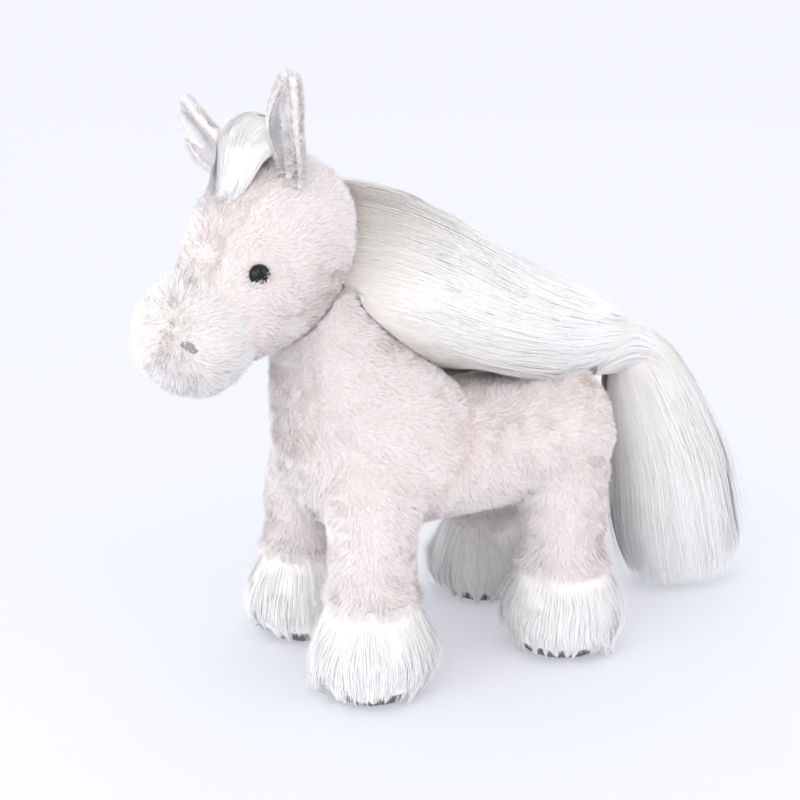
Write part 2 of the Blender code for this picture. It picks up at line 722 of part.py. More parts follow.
def build_tail(root):
    """The tape that lifts about its sewn edge, and the tail that swings at the tape's end."""
    before, end = sections_from(body_rows(BARREL_SECTION_SHARES), BODY_RINGS)[-2:]
    half = TAPE_THICKNESS / 2
    fall = (end.top - before.top).normalized()
    dock = end.top + Vector((-fall.y, fall.x)) * (GAP + half)
    lift = empty("tail_lift", Vector((0.0, dock.x, dock.y)), root, (TAPE_RISE, 0.0, 0.0))
    outline = []
    for k in range(7):
        angle = math.pi / 2 + k * math.pi / 6
        outline.append((half * math.cos(angle), half * math.sin(angle)))
    outline += [(TAPE_LENGTH, -half), (TAPE_LENGTH, half)]
    rings = []
    for x in (-TAPE_WIDTH / 2, TAPE_WIDTH / 2):
        rings.append([Vector((x, y, z)) for y, z in outline])
    add_object("tail_tape", lofted("tail_tape", rings), lift, TAPE)
    swing_at = Vector((0.0, TAPE_LENGTH + GAP + TAIL_ROOT_RADIUS, 0.0))
    swing = empty("tail_swing", swing_at, lift, (-TAPE_RISE, 0.0, 0.0))
    rows = []
    for y_in, z_in, y_out, z_out, width in TAIL_SECTION_SHARES:
        y, z = TAIL_SWEEP, TAIL_DROP
        rows.append((y_out * y, z_out * z, y_in * y, z_in * z, width * TAIL_WIDTH / 2))
    sections = sections_from(rows, LOCK_RINGS)
    root_rings = []
    for k in range(1, 4):
        angle = k * math.pi / 6
        reach = -TAIL_ROOT_RADIUS * math.cos(angle)
        radius = TAIL_ROOT_RADIUS * math.sin(angle)
        upright = Vector((0.0, 1.0))
        middle = Vector((reach, 0.0))
        root_rings.append(Section(middle + upright * radius, middle - upright * radius, radius, upright))
    rings = [section.ring(LOCK_SEGMENTS) for section in root_rings + sections]
    add_object("tail", lofted("tail", rings), swing, LONG_PILE)


def build():
    clear_scene()
    horse = empty("horse", -FLOOR_MIDDLE)
    body, neck_parts = build_body(horse)
    pivot = Vector((0.0, -HEAD_PIVOT_REACH, HEAD_PIVOT_HEIGHT))
    head = empty("head", pivot, horse, (0.0, -HEAD_TILT, HEAD_TURN))
    skull, skull_outside, ear_room = build_head(head, -pivot, neck_parts)
    for side_name, side in SIDES:
        build_ear(head, -pivot, side_name, side, skull, ear_room, *EAR_LEANS[side_name])
        for end_name, y, shares in (
            ("front", 0.0, FRONT_LEG_SECTION_SHARES),
            ("hind", HOOF_SPACING, HIND_LEG_SECTION_SHARES),
        ):
            name = end_name + "_" + side_name
            build_leg(horse, name, shares, side, y, body)
            build_hoof(horse, name, side, y)
    build_mane(horse, (body, skull_outside))
    build_tail(horse)


# Finishes: colour, roughness and sheen
SHORT_PLUSH = ((0.82, 0.74, 0.71), 0.95, 0.4)
MUZZLE_PLUSH = ((0.88, 0.85, 0.84), 0.95, 0.4)
LONG_PILE = ((0.90, 0.89, 0.87), 0.85, 0.3)
EAR_PLUSH = ((0.88, 0.86, 0.85), 0.95, 0.4)
EAR_VELOUR = ((0.50, 0.49, 0.54), 0.85, 0.3)
GREY_PLUSH = ((0.40, 0.39, 0.40), 0.90, 0.2)
GREY_THREAD = ((0.38, 0.37, 0.40), 0.55, 0.1)
EYE_GLOSS = ((0.006, 0.006, 0.008), 0.06, 0.0)
WASHER = ((0.75, 0.75, 0.73), 0.45, 0.0)
STUFFING = ((0.93, 0.93, 0.92), 1.0, 0.2)
POUCH = ((0.86, 0.85, 0.82), 0.90, 0.1)
BOARD = ((0.45, 0.36, 0.26), 0.90, 0.0)
TAPE = ((0.88, 0.87, 0.84), 0.80, 0.0)

build()
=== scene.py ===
"""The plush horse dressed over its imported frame: blush short pile on the body and head, a fluffier
white muzzle, long silky mane, tail, forelock and fetlock cuffs, and folding plush ears."""

import json
import math

import bmesh
import bpy
import numpy as np
from mathutils import Euler, Matrix, Vector
from mathutils.bvhtree import BVHTree
from mathutils.kdtree import KDTree


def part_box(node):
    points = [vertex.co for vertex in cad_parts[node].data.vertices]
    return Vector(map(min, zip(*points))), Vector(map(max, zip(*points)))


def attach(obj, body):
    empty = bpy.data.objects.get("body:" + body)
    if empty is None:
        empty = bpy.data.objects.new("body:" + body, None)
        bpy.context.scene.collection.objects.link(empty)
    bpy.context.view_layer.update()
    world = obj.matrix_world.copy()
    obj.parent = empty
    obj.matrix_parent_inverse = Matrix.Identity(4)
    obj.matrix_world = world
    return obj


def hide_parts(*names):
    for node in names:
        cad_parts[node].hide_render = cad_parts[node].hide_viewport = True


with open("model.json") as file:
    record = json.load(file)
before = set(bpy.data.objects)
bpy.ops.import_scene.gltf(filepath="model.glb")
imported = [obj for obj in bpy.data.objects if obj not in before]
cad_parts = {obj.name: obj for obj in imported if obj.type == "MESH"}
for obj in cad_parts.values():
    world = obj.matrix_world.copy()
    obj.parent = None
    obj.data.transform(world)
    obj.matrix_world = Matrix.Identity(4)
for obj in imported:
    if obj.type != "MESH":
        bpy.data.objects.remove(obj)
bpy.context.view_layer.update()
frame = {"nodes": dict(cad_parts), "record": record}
nodes = frame["nodes"]

# Share of the strands that are made
DENSITY = 1.0

# Camera
AIM = Vector((0.0, -0.04485, 0.147))
CAMERA_DISTANCE = 0.891
CAMERA_AZIMUTH = math.radians(62.7)
CAMERA_ELEVATION = math.radians(17.0)
LENS = 72.0
SENSOR = 36.0

# Skins under the pile
BODY_VOXEL = 0.0026
HEAD_VOXEL = 0.0022
SKIN_INSET = 0.0018
HEAD_INSET = 0.0008
WADDING_VOXEL = 0.0035
WADDING_INSET = 0.0035
LUMP_SIZE = 0.032
LUMP_HEIGHT = 0.0011

# Short pile, with its strands per square metre
PILE_LENGTH = 0.0046
MUZZLE_PILE_LENGTH = 0.0058
MUZZLE_BLEND = 0.012
EAR_PILE_LENGTH = 0.0042
EAR_FOLD_SHARE = 0.02
EAR_EDGE_TURN = 1.4
PILE_WIDTH = 0.00046
STRANDS_PER_AREA = 2.6e6
NAP_PATCH = 0.0055
NAP_SWIRL = 0.028
TUFT_SPACING = 0.0020
WHORL_SHARE = 0.35
WHORL_LEAN = 0.45
SEAM_REACH = 0.0032
TUFT_STRANDS = 16
TUFT_PULL = 0.55

# Middle of the whole length, behind the front hooves
FLOOR_MIDDLE_Y = 0.08435

# Head's own axis, from the back of the skull to the nose, as in the frame
HEAD_PIVOT = Vector((0.0, -0.008 - FLOOR_MIDDLE_Y, 0.222))
HEAD_TURN = Euler((0.0, math.radians(-4.0), math.radians(12.0))).to_matrix()
SKULL_BACK_Y = 0.0047 - FLOOR_MIDDLE_Y
SKULL_BACK_HEIGHT = 0.266
HEAD_LENGTH = 0.1376
HEAD_DEPTH = 0.090
HEAD_WIDTH = 0.080
HEAD_SLOPE = math.radians(27.2)

# Eyes and nostrils
EYE_CLEARANCE = 0.0062
EYE_DIMPLE = 0.008
EYE_FRINGE_STRANDS = 90
EYE_FRINGE_LENGTH = 0.0050
EYE_FRINGE_LIFT = 0.0019
EYE_FRINGE_RISE = 1.2
EYE_FRINGE_MIDDLE = math.radians(-108.0)
EYE_FRINGE_SPREAD = math.radians(34.0)
NOSTRIL_LENGTH = 0.0094
NOSTRIL_WIDTH = 0.0050
NOSTRIL_RISE = 0.0006
NOSTRIL_STITCHES = 17
NOSTRIL_BARE_SHARE = 0.62
NOSTRIL_DIMPLE_SHARE = 1.5
STITCH_SLANT = 0.0003
STITCH_SIDES = 6
STITCH_STEPS = 9
STITCH_RADIUS = 0.00034

# Seam beside the forehead's gusset, in shares of the head's length, depth and width
GUSSET_SEAM_SHARES = (
    (0.366, 0.392, 0.272),
    (0.429, 0.364, 0.273),
    (0.492, 0.323, 0.265),
    (0.528, 0.306, 0.241),
    (0.594, 0.264, 0.193),
    (0.652, 0.182, 0.224),
    (0.706, 0.120, 0.223),
)

# Seam beside the chest's gusset, from the jaw down
CHEST_SEAM = (
    (0.0262, -0.1065, 0.2000),
    (0.0260, -0.1083, 0.1900),
    (0.0269, -0.1079, 0.1767),
    (0.0283, -0.1076, 0.1635),
    (0.0276, -0.1090, 0.1500),
    (0.0262, -0.1108, 0.1380),
)
SEAM_WIDTH = 0.0021
GROOVE_DEPTH = 0.0016
GROOVE_WIDTH = 0.0032

# Legs
HOOF_SPREAD = 0.088
HOOF_PLACES = {"front": -FLOOR_MIDDLE_Y, "hind": 0.122 - FLOOR_MIDDLE_Y}
SIDES = {"left": 1.0, "right": -1.0}
CUFF_SEAM_HEIGHT = 0.056
LEG_RADIUS = 0.024
SHANK_LENGTH = 0.022
SHANK_OVERLAP = 0.004
FRINGE_DROP = 0.006
FRINGE_SHARE = 1.0
CUFF_RADIUS = 0.039
CUFF_STRANDS = 8200
CUFF_GUIDES = 70
CUFF_PILE_LENGTH = 0.033
CUFF_TIP_HEIGHT = 0.0105
CUFF_SPIKE_HEIGHT = 0.002
CUFF_ROOT_DEPTH = 0.002
CUFF_LOWEST = 0.0006
CUFF_LOOK_RISE = 0.004
CUFF_CORE_DROP = 0.001
CUFF_CORE_REACH = 0.84
CUFF_CORE_AROUND = 40
CUFF_CORE_STEPS = 14
CUFF_TONE = 0.88

# Half widths of a cuff's bell, as shares of its radius, from the seam down to the floor
CUFF_BELL_SHARES = (
    (0.0, 0.64),
    (0.10, 0.76),
    (0.28, 0.92),
    (0.50, 1.00),
    (0.72, 0.97),
    (0.90, 0.84),
    (1.0, 0.74),
)

# Mane: crest line, as places along Y and heights, from the poll to the withers
CREST = (
    (-0.0850, 0.2730),
    (-0.0750, 0.2570),
    (-0.0740, 0.2380),
    (-0.0735, 0.2210),
    (-0.0660, 0.2040),
    (-0.0540, 0.1905),
    (-0.0400, 0.1790),
    (-0.0270, 0.1685),
    (-0.0130, 0.1570),
)
MANE_ENDS = ((0.0940, 0.1880), (0.0840, 0.1530))
MANE_LIFTS = (0.036, 0.030)
MANE_LIFT_ANGLES = (math.radians(8.0), math.radians(12.0))
MANE_FALLS = (0.062, 0.045)
MANE_FALL_ANGLES = (math.radians(-24.0), math.radians(2.0))
MANE_HALF_WIDTH = 0.026
MANE_STRANDS = 8000
MANE_SWAY = 0.004
MANE_STRAY = 0.016
MANE_WRAP = 0.014
MANE_ROOT_SHARES = (0.8, 0.34)
MANE_ROUNDING = 0.012
MANE_SWAY_SIZE = 0.045
MANE_SHORTEST = 0.55
MANE_DRIFT = 0.12
MANE_CLEARANCE = 0.0025
MANE_OVAL = (0.020, 0.035)

# Tail, from its swing's place: inner and outer points along Y and Z, then half width
TAIL_ROOT = Vector((0.0, 0.08872, 0.15312))
TAIL_SECTIONS = (
    (-0.0010, -0.0030, 0.0010, 0.0040, 0.0040),
    (0.0066, -0.0064, 0.0140, 0.0190, 0.0130),
    (0.0068, -0.0240, 0.0378, 0.0122, 0.0188),
    (0.0095, -0.0496, 0.0626, -0.0160, 0.0227),
    (0.0138, -0.0752, 0.0799, -0.0464, 0.0259),
    (0.0184, -0.1008, 0.0929, -0.0768, 0.0270),
    (0.0240, -0.1248, 0.1030, -0.1060, 0.0265),
    (0.0320, -0.1410, 0.1080, -0.1310, 0.0245),
    (0.0400, -0.1506, 0.1050, -0.1500, 0.0210),
)
DOCK_STRANDS = 3600
TAIL_STRANDS = 7500
TAIL_SWAY = 0.005
TAIL_SWAY_SIZE = 0.05
TAIL_SHORTEST = 0.8
TAIL_DRIFT = 0.1

# Dock tuft over the tape: place along Y, height, half width and half height
DOCK_SECTIONS = (
    (0.0785, 0.1530, 0.0125, 0.0080),
    (0.0830, 0.1565, 0.0160, 0.0115),
    (0.0890, 0.1600, 0.0180, 0.0150),
    (0.0980, 0.1625, 0.0195, 0.0170),
    (0.1080, 0.1610, 0.0205, 0.0165),
    (0.1190, 0.1540, 0.0205, 0.0150),
)

# Forelock, in shares of the head's length, depth and half width: along, outer, inner, half width
FORELOCK_SECTION_SHARES = (
    (0.08, 0.44, 0.30, 0.22),
    (0.12, 0.60, 0.36, 0.32),
    (0.18, 0.70, 0.43, 0.38),
    (0.26, 0.72, 0.46, 0.42),
    (0.34, 0.64, 0.46, 0.42),
    (0.41, 0.53, 0.43, 0.37),
    (0.46, 0.43, 0.39, 0.30),
)
FORELOCK_STRANDS = 6000
FORELOCK_SWAY = 0.003
FORELOCK_SWAY_SIZE = 0.02
FORELOCK_SHORTEST = 0.35
FORELOCK_DRIFT = 0.4
FORELOCK_TONE = 0.95
FORELOCK_LIFT = (0.0, -0.2, 0.25)

# Long hair
HAIR_WIDTH = 0.00034
HAIR_TONE = 0.84
HAIR_SOFTNESS = 0.85
HAIR_CLEARANCE = 0.0015
HAIR_FLOOR = 0.0004
HAIR_POINTS = 13
LOOSE_SHARE = 0.15
FLIGHT_SHARE = 0.35
LAYER_SHARE = 0.025
LOCK_RELIEF_SHARE = 0.05
LOCK_WIDTH_SHARE = 0.24

# How far calm strands wander, how far loose ones do, and the size of the noise that moves them
LONG_RUFFLE = (0.0002, 0.005, 0.014)
FORELOCK_RUFFLE = (0.0008, 0.004, 0.006)
CUFF_RUFFLE = (0.002, 0.006, 0.012)
DOCK_RUFFLE = 0.002
DOCK_RUFFLE_SIZE = 0.01

# Bundle under a lock's outer strands: its width along it, then its reach along the roots, its
# share of their width and its reach along the strands
CORE_SHARES = ((0.0, 1.0), (0.7, 1.0), (0.88, 0.8), (0.96, 0.5), (1.0, 0.15))
LONG_CORE = ((0.01, 0.99), 0.98, (0.01, 0.96))
FORELOCK_CORE = ((0.05, 0.95), 0.9, (0.01, 0.97))
CORE_CLEARANCE = 0.0012
CORE_AROUND = 96
CORE_STEPS = 40
PUSH_REACH = 0.03

# Ears
EAR_VOXEL = 0.0011
EAR_INSET = 0.0002
EAR_STRANDS = 15000
EAR_LEAN = (0.0, 0.03, 0.0)
LINING_VOXEL = 0.0007
LINING_INSET = -0.0001
LINING_STRANDS = 20000
LINING_COVER = 0.0005
LINING_PILE_LENGTH = 0.0016

# Way to the rear and outwards that the ears' linings and the nostrils follow
REARWARD = (0.46, 0.89)

# Soles
SOLE_VOXEL = 0.0012
SOLE_INSET = 0.0004
SOLE_STRANDS = 6000
SOLE_PILE_LENGTH = 0.0022

# Lamps: place, width and power in watts
LAMPS = {
    "key_lamp": ((0.95, -1.55, 0.95), 2.4, 19.5),
    "front_lamp": ((0.0, -1.9, 0.45), 1.8, 4.0),
    "side_lamp": ((1.7, 0.9, 1.0), 1.6, 7.0),
    "rear_lamp": ((-1.5, 1.3, 1.1), 2.0, 6.0),
}
FLOOR_REACH = 14.0

# Share of the backdrop's own colour in the seen floor, by the distance from the middle
FLOOR_FADE = {"From Min": 0.4, "From Max": 1.5, "To Min": 0.4, "To Max": 0.97}
SKY_STRENGTH = 0.97


def linear(red, green, blue):
    """A colour given in the usual 0 to 255 values, as the shader takes it."""
    found = []
    for value in (red, green, blue):
        share = value / 255
        found.append(share / 12.92 if share <= 0.04045 else ((share + 0.055) / 1.055) ** 2.4)
    return (*found, 1.0)


def palette(*rows):
    return tuple(linear(*row) for row in rows)


# Noise and curves in numpy
def value_noise(points, size, seed):
    """Smooth noise from -1 to 1 at each point, with bumps about one size apart."""
    lattice = np.random.default_rng(seed).random((32, 32, 32)) * 2 - 1
    cell = np.asarray(points) / size
    low = np.floor(cell).astype(int)
    t = cell - low
    t = t * t * (3 - 2 * t)
    total = np.zeros(cell.shape[:-1])
    for corner in range(8):
        step = np.array([corner & 1, corner >> 1 & 1, corner >> 2 & 1])
        weight = np.prod(np.where(step, t, 1 - t), axis=-1)
        x, y, z = np.moveaxis((low + step) % 32, -1, 0)
        total += weight * lattice[x, y, z]
    return total


def vector_noise(points, size, seed):
    return np.stack([value_noise(points, size, seed + k) for k in range(3)], axis=-1)


def unit(vectors):
    return vectors / np.maximum(np.linalg.norm(vectors, axis=-1, keepdims=True), 1e-9)


def along_rows(rows, places):
    """Rows of a table at places from 0 to 1, on the smooth curve through the given rows."""
    rows = np.asarray(rows, float)
    place = np.clip(places, 0, 1) * (len(rows) - 1)
    i = np.minimum(place.astype(int), len(rows) - 2)
    t = (place - i)[..., None]
    a, b = rows[np.maximum(i - 1, 0)], rows[i]
    c, d = rows[i + 1], rows[np.minimum(i + 2, len(rows) - 1)]
    return b + 0.5 * t * (c - a + t * (2 * a - 5 * b + 4 * c - d + t * (3 * (b - c) + d - a)))


def mix(pair, share):
    return pair[0] + (pair[1] - pair[0]) * share


def kd_tree(points):
    tree = KDTree(len(points))
    for k, point in enumerate(points):
        tree.insert(point, k)
    tree.balance()
    return tree


def dip(away, reach):
    """A smooth bump of 1 where the distance is none, gone beyond about twice the reach."""
    return np.exp(-((away / reach) ** 2))


def linked(name, data):
    made = bpy.data.objects.new(name, data)
    bpy.context.scene.collection.objects.link(made)
    return made


# Materials
def set_inputs(node, values):
    for name, value in values.items():
        node.inputs[name].default_value = value


def new_material(name, values):
    made = bpy.data.materials.new(name)
    made.use_nodes = True
    shader = made.node_tree.nodes["Principled BSDF"]
    set_inputs(shader, values)
    return made, made.node_tree, shader


def add_node(tree, kind, values, links):
    """A shader node with values for some inputs and other nodes' outputs linked to others."""
    made = tree.nodes.new("ShaderNode" + kind)
    set_inputs(made, values)
    for name, source in links.items():
        tree.links.new(source, made.inputs[name])
    return made


def add_ramp(tree, source, low, high):
    made = add_node(tree, "ValToRGB", {}, {"Fac": source})
    made.color_ramp.elements[0].color = low
    made.color_ramp.elements[1].color = high
    return made


def pile_material(name, colours, roughness, sheen):
    """Pile whose colour runs from root to tip up the map and from dark to pale strands across it."""
    root, middle, tip, shade = colours
    values = {"Roughness": roughness, "Sheen Weight": sheen, "Sheen Roughness": 0.5}
    made, tree, shader = new_material(name, {**values, "Specular IOR Level": 0.2})
    place = tree.nodes.new("ShaderNodeUVMap")
    place.uv_map = "OFBake"
    split = add_node(tree, "SeparateXYZ", {}, {"Vector": place.outputs["UV"]})
    length_ramp = add_ramp(tree, split.outputs["Y"], root, tip)
    length_ramp.color_ramp.elements[1].position = 0.9
    length_ramp.color_ramp.elements.new(0.45).color = middle
    tone_ramp = add_ramp(tree, split.outputs["X"], shade, (1.0, 1.0, 1.0, 1.0))
    multiply = tree.nodes.new("ShaderNodeMix")
    multiply.data_type = "RGBA"
    multiply.blend_type = "MULTIPLY"
    multiply.inputs["Factor"].default_value = 1.0
    tree.links.new(length_ramp.outputs["Color"], multiply.inputs["A"])
    tree.links.new(tone_ramp.outputs["Color"], multiply.inputs["B"])
    tree.links.new(multiply.outputs["Result"], shader.inputs["Base Color"])
    return made


def grained_material(name, dark, pale, roughness, grain, bump):
    """Cloth or card: two close colours over a fine grain, which also raises the surface."""
    made, tree, shader = new_material(name, {"Roughness": roughness})
    place = tree.nodes.new("ShaderNodeTexCoord").outputs["Object"]
    pattern = add_node(tree, "TexNoise", {"Detail": 3.0, "Scale": 1 / grain}, {"Vector": place})
    ramp = add_ramp(tree, pattern.outputs["Fac"], linear(*dark), linear(*pale))
    raised = add_node(tree, "Bump", {"Distance": bump}, {"Height": pattern.outputs["Fac"]})
    tree.links.new(ramp.outputs["Color"], shader.inputs["Base Color"])
    tree.links.new(raised.outputs["Normal"], shader.inputs["Normal"])
    return made


def gloss_material(name, colour):
    """Moulded black plastic, faintly uneven in its polish."""
    values = {"Base Color": colour, "Specular IOR Level": 0.25, "Coat Weight": 0.3}
    made, tree, shader = new_material(name, {**values, "Coat Roughness": 0.03})
    place = tree.nodes.new("ShaderNodeTexCoord").outputs["Object"]
    pattern = add_node(tree, "TexNoise", {"Scale": 400.0}, {"Vector": place})
    spread = add_node(tree, "MapRange", {"To Min": 0.05, "To Max": 0.11}, {"Value": pattern.outputs["Fac"]})
    tree.links.new(spread.outputs["Result"], shader.inputs["Roughness"])
    return made


# Colours of each pile: at the root, halfway, at the tip, and the shade that darker strands take
BLUSH = palette((246, 233, 227), (253, 247, 245), (255, 253, 253), (236, 221, 215))
MUZZLE_WHITE = palette((246, 238, 233), (253, 250, 248), (255, 254, 253), (248, 243, 239))
# The long hair's root colour is darker and warmer than the rest: painted shade where the hair of the mane,
# tail, forelock and cuffs leaves the skin.
SILK_SHADED_ROOTS = palette((236, 230, 221), (250, 249, 247), (252, 252, 252), (246, 244, 241))
EAR_WHITE = palette((246, 238, 234), (253, 249, 247), (255, 254, 253), (249, 244, 241))
SOLE_GREY = palette((110, 108, 112), (168, 166, 170), (196, 194, 198), (190, 188, 192))
LINING_GREY = palette((206, 202, 206), (224, 221, 225), (240, 238, 241), (230, 228, 232))

# Colours of the stage
FLOOR_GREY, BACKDROP, SKY = palette((233, 235, 240), (246, 247, 255), (250, 250, 255))

MATERIALS = {
    "short_plush": pile_material("short_pile", BLUSH, 0.85, 0.25),
    "muzzle_plush": pile_material("muzzle_pile", MUZZLE_WHITE, 0.85, 0.25),
    "long_pile": pile_material("silky_pile", SILK_SHADED_ROOTS, 0.6, 0.15),
    "ear_plush": pile_material("ear_pile", EAR_WHITE, 0.85, 0.25),
    "sole_plush": pile_material("sole_pile", SOLE_GREY, 0.85, 0.2),
    "ear_lining": pile_material("velour_pile", LINING_GREY, 0.8, 0.3),
    "eye": gloss_material("eye_gloss", linear(8, 8, 10)),
}

# Cloths and cards: a material's name, dark and pale colours, roughness, grain and bump
GRAINS = {
    "nostril_thread": ("satin_thread", (104, 100, 102), (196, 190, 190), 0.55, 0.0015, 0.0002),
    "washer": ("washer_plastic", (222, 222, 218), (236, 236, 233), 0.45, 0.002, 0.00002),
    "stuffing": ("fibre_fill", (228, 228, 226), (250, 250, 249), 1.0, 0.006, 0.0015),
    "pouch_cloth": ("pouch_weave", (220, 217, 209), (240, 238, 232), 0.9, 0.0012, 0.0002),
    "sole_board": ("fibre_board", (168, 142, 112), (190, 165, 135), 0.9, 0.0015, 0.0001),
    "tape": ("tape_weave", (226, 222, 214), (246, 243, 236), 0.8, 0.0009, 0.0002),
}
for slot_name, facts in GRAINS.items():
    MATERIALS[slot_name] = grained_material(*facts)


# Meshes
def add_mesh(name, points, faces, slot):
    mesh = bpy.data.meshes.new(name)
    mesh.from_pydata([tuple(p) for p in points], [], faces)
    mesh.shade_smooth()
    mesh.materials.append(MATERIALS[slot])
    return linked(name, mesh)


def ring_faces(around, steps, inward=False):
    """Quads between rings of points that follow each other."""
    faces = []
    for low in range(0, (steps - 1) * around, around):
        high = low + around
        for i in range(around):
            j = (i + 1) % around
            face = (low + i, low + j, high + j, high + i)
            faces.append(face[:1] + face[:0:-1] if inward else face)
    return faces


def paint_map(mesh, tones, heights):
    """The map that the pile's colour reads: a strand's tone across it, its height up it."""
    layer = mesh.uv_layers.new(name="OFBake")
    corners = np.empty(len(mesh.loops), int)
    mesh.loops.foreach_get("vertex_index", corners)
    layer.data.foreach_set("uv", np.column_stack((tones[corners], heights[corners])).ravel())


def ribbons(name, paths, faces_to, widths, tones):
    """One mesh of flat strands, each a run of quads that narrows to a point. Paths are (strands,
    points, 3), and faces_to is the way that a strand's flat side looks at each point."""
    strands, points = paths.shape[:2]
    paths[..., 2] = np.maximum(paths[..., 2], HAIR_FLOOR)
    course = unit(np.gradient(paths, axis=1))
    side = unit(np.cross(course, faces_to))
    share = np.linspace(0, 1, points)
    half = (widths[:, None] / 2 * (1 - 0.65 * share**1.6))[..., None]
    left, right = paths - side * half, paths + side * half
    rows = np.stack((left[:, :-1], right[:, :-1]), axis=2).reshape(strands, -1, 3)
    corners = np.concatenate((rows, paths[:, -1:]), axis=1)
    per = corners.shape[1]

    flat = np.cross(side, course)
    looks = unit(faces_to * HAIR_SOFTNESS + flat * (1 - HAIR_SOFTNESS))
    normals = np.repeat(looks, 2, axis=1)[:, : per - 1]
    normals = np.concatenate((normals, looks[:, -1:]), axis=1)

    k = np.arange(points - 2) * 2
    quads = np.stack((k, k + 1, k + 3, k + 2), axis=1)
    start = np.arange(strands)[:, None, None] * per
    quad_loops = (quads[None] + start).reshape(strands, -1)
    tip = np.array([per - 3, per - 2, per - 1])[None] + start[:, :, 0]
    loops = np.concatenate((quad_loops, tip), axis=1).ravel()
    sizes = np.tile([4] * len(quads) + [3], strands)
    spread = np.tile([0.0, 0.012], points - 1)
    across = tones[:, None] * 0.94 + 0.02 + np.concatenate((spread, [0.006]))
    up = np.tile(np.concatenate((np.repeat(share[:-1], 2), [1.0])), strands)
    return strand_mesh(name, corners, loops, sizes, across, up, normals, "long_pile")


def blades(name, roots, tips, looks, widths, tones, slot):
    """One mesh of short flat strands, each from a root to a point, with a face on either side.
    Each face's normal leans to the open side of the skin."""
    strands = len(roots)
    course = unit(tips - roots)
    side = unit(np.cross(course, looks))
    flat = np.cross(side, course)
    half = side * widths[:, None] / 2
    front = (roots - half, roots + half, tips)
    gap = flat * widths[:, None] * 0.04
    corners = np.stack((*front, *(corner - gap for corner in front)), axis=1)
    loops = (np.array((0, 1, 2, 4, 3, 5))[None] + np.arange(strands)[:, None] * 6).ravel()
    across = tones[:, None] * 0.94 + 0.02 + np.tile((0.0, 0.012, 0.006), 2)
    up = np.tile((0.0, 0.0, 1.0), strands * 2)
    over, under = unit(looks + 0.5 * flat), unit(looks - flat)
    normals = np.stack((over, over, over, under, under, under), axis=1)
    return strand_mesh(name, corners, loops, np.full(strands * 2, 3), across, up, normals, slot)


def strand_mesh(name, corners, loops, sizes, across, up, normals, slot):
    """The object made of strands: their corners, faces, places on the map and normals."""
    mesh = bpy.data.meshes.new(name)
    mesh.vertices.add(corners.shape[0] * corners.shape[1])
    mesh.vertices.foreach_set("co", corners.astype(np.float32).ravel())
    mesh.loops.add(len(loops))
    mesh.loops.foreach_set("vertex_index", loops.astype(np.int32))
    mesh.polygons.add(len(sizes))
    starts = np.concatenate(([0], np.cumsum(sizes)[:-1]))
    mesh.polygons.foreach_set("loop_start", starts.astype(np.int32))
    mesh.update(calc_edges=True)
    mesh.shade_smooth()
    paint_map(mesh, np.clip(across, 0, 1).ravel(), up * 0.98 + 0.01)
    mesh.normals_split_custom_set_from_vertices(normals.reshape(-1, 3))
    mesh.materials.append(MATERIALS[slot])
    return linked(name, mesh)


def joined(names, shanks=False):
    """One loose mesh of several of the frame's nodes, with the legs run on under their cuffs."""
    bm = bmesh.new()
    for name in names:
        bm.from_mesh(nodes[name].data)
    if shanks:
        middle = CUFF_SEAM_HEIGHT - SHANK_LENGTH / 2 + SHANK_OVERLAP
        for y in HOOF_PLACES.values():
            for side in SIDES.values():
                at = Matrix.Translation((side * HOOF_SPREAD / 2, y, middle))
                bmesh.ops.create_cone(
                    bm, cap_ends=True, segments=36, radius1=LEG_RADIUS, radius2=LEG_RADIUS,
                    depth=SHANK_LENGTH, matrix=at,
                )
    mesh = bpy.data.meshes.new("joined")
    bm.to_mesh(mesh)
    bm.free()
    return mesh


def remeshed(mesh, voxel, rounds):
    """The outer surface of a mesh as even quads, smoothed."""
    holder = linked("holder", mesh)
    step = holder.modifiers.new("even", "REMESH")
    step.mode = "VOXEL"
    step.voxel_size = voxel
    smooth = holder.modifiers.new("smooth", "SMOOTH")
    smooth.factor = 0.5
    smooth.iterations = rounds
    bm = bmesh.new()
    bm.from_object(holder, bpy.context.evaluated_depsgraph_get())
    bpy.data.objects.remove(holder, do_unlink=True)
    keep_largest(bm)
    return bm


def node_skin(name, voxel, rounds, inset):
    """The skin of one of the frame's nodes by itself."""
    return Surface(remeshed(joined([name]), voxel, rounds), [name], inset)


def keep_largest(bm):
    """Drops all but the largest connected piece."""
    bm.verts.index_update()
    label = {}
    groups = []
    for start in bm.verts:
        if start.index in label:
            continue
        group = [start]
        label[start.index] = len(groups)
        for vert in group:
            for edge in vert.link_edges:
                other = edge.other_vert(vert)
                if other.index not in label:
                    label[other.index] = len(groups)
                    group.append(other)
        groups.append(group)
    groups.sort(key=len)
    for group in groups[:-1]:
        bmesh.ops.delete(bm, geom=group, context="VERTS")
    bm.verts.index_update()


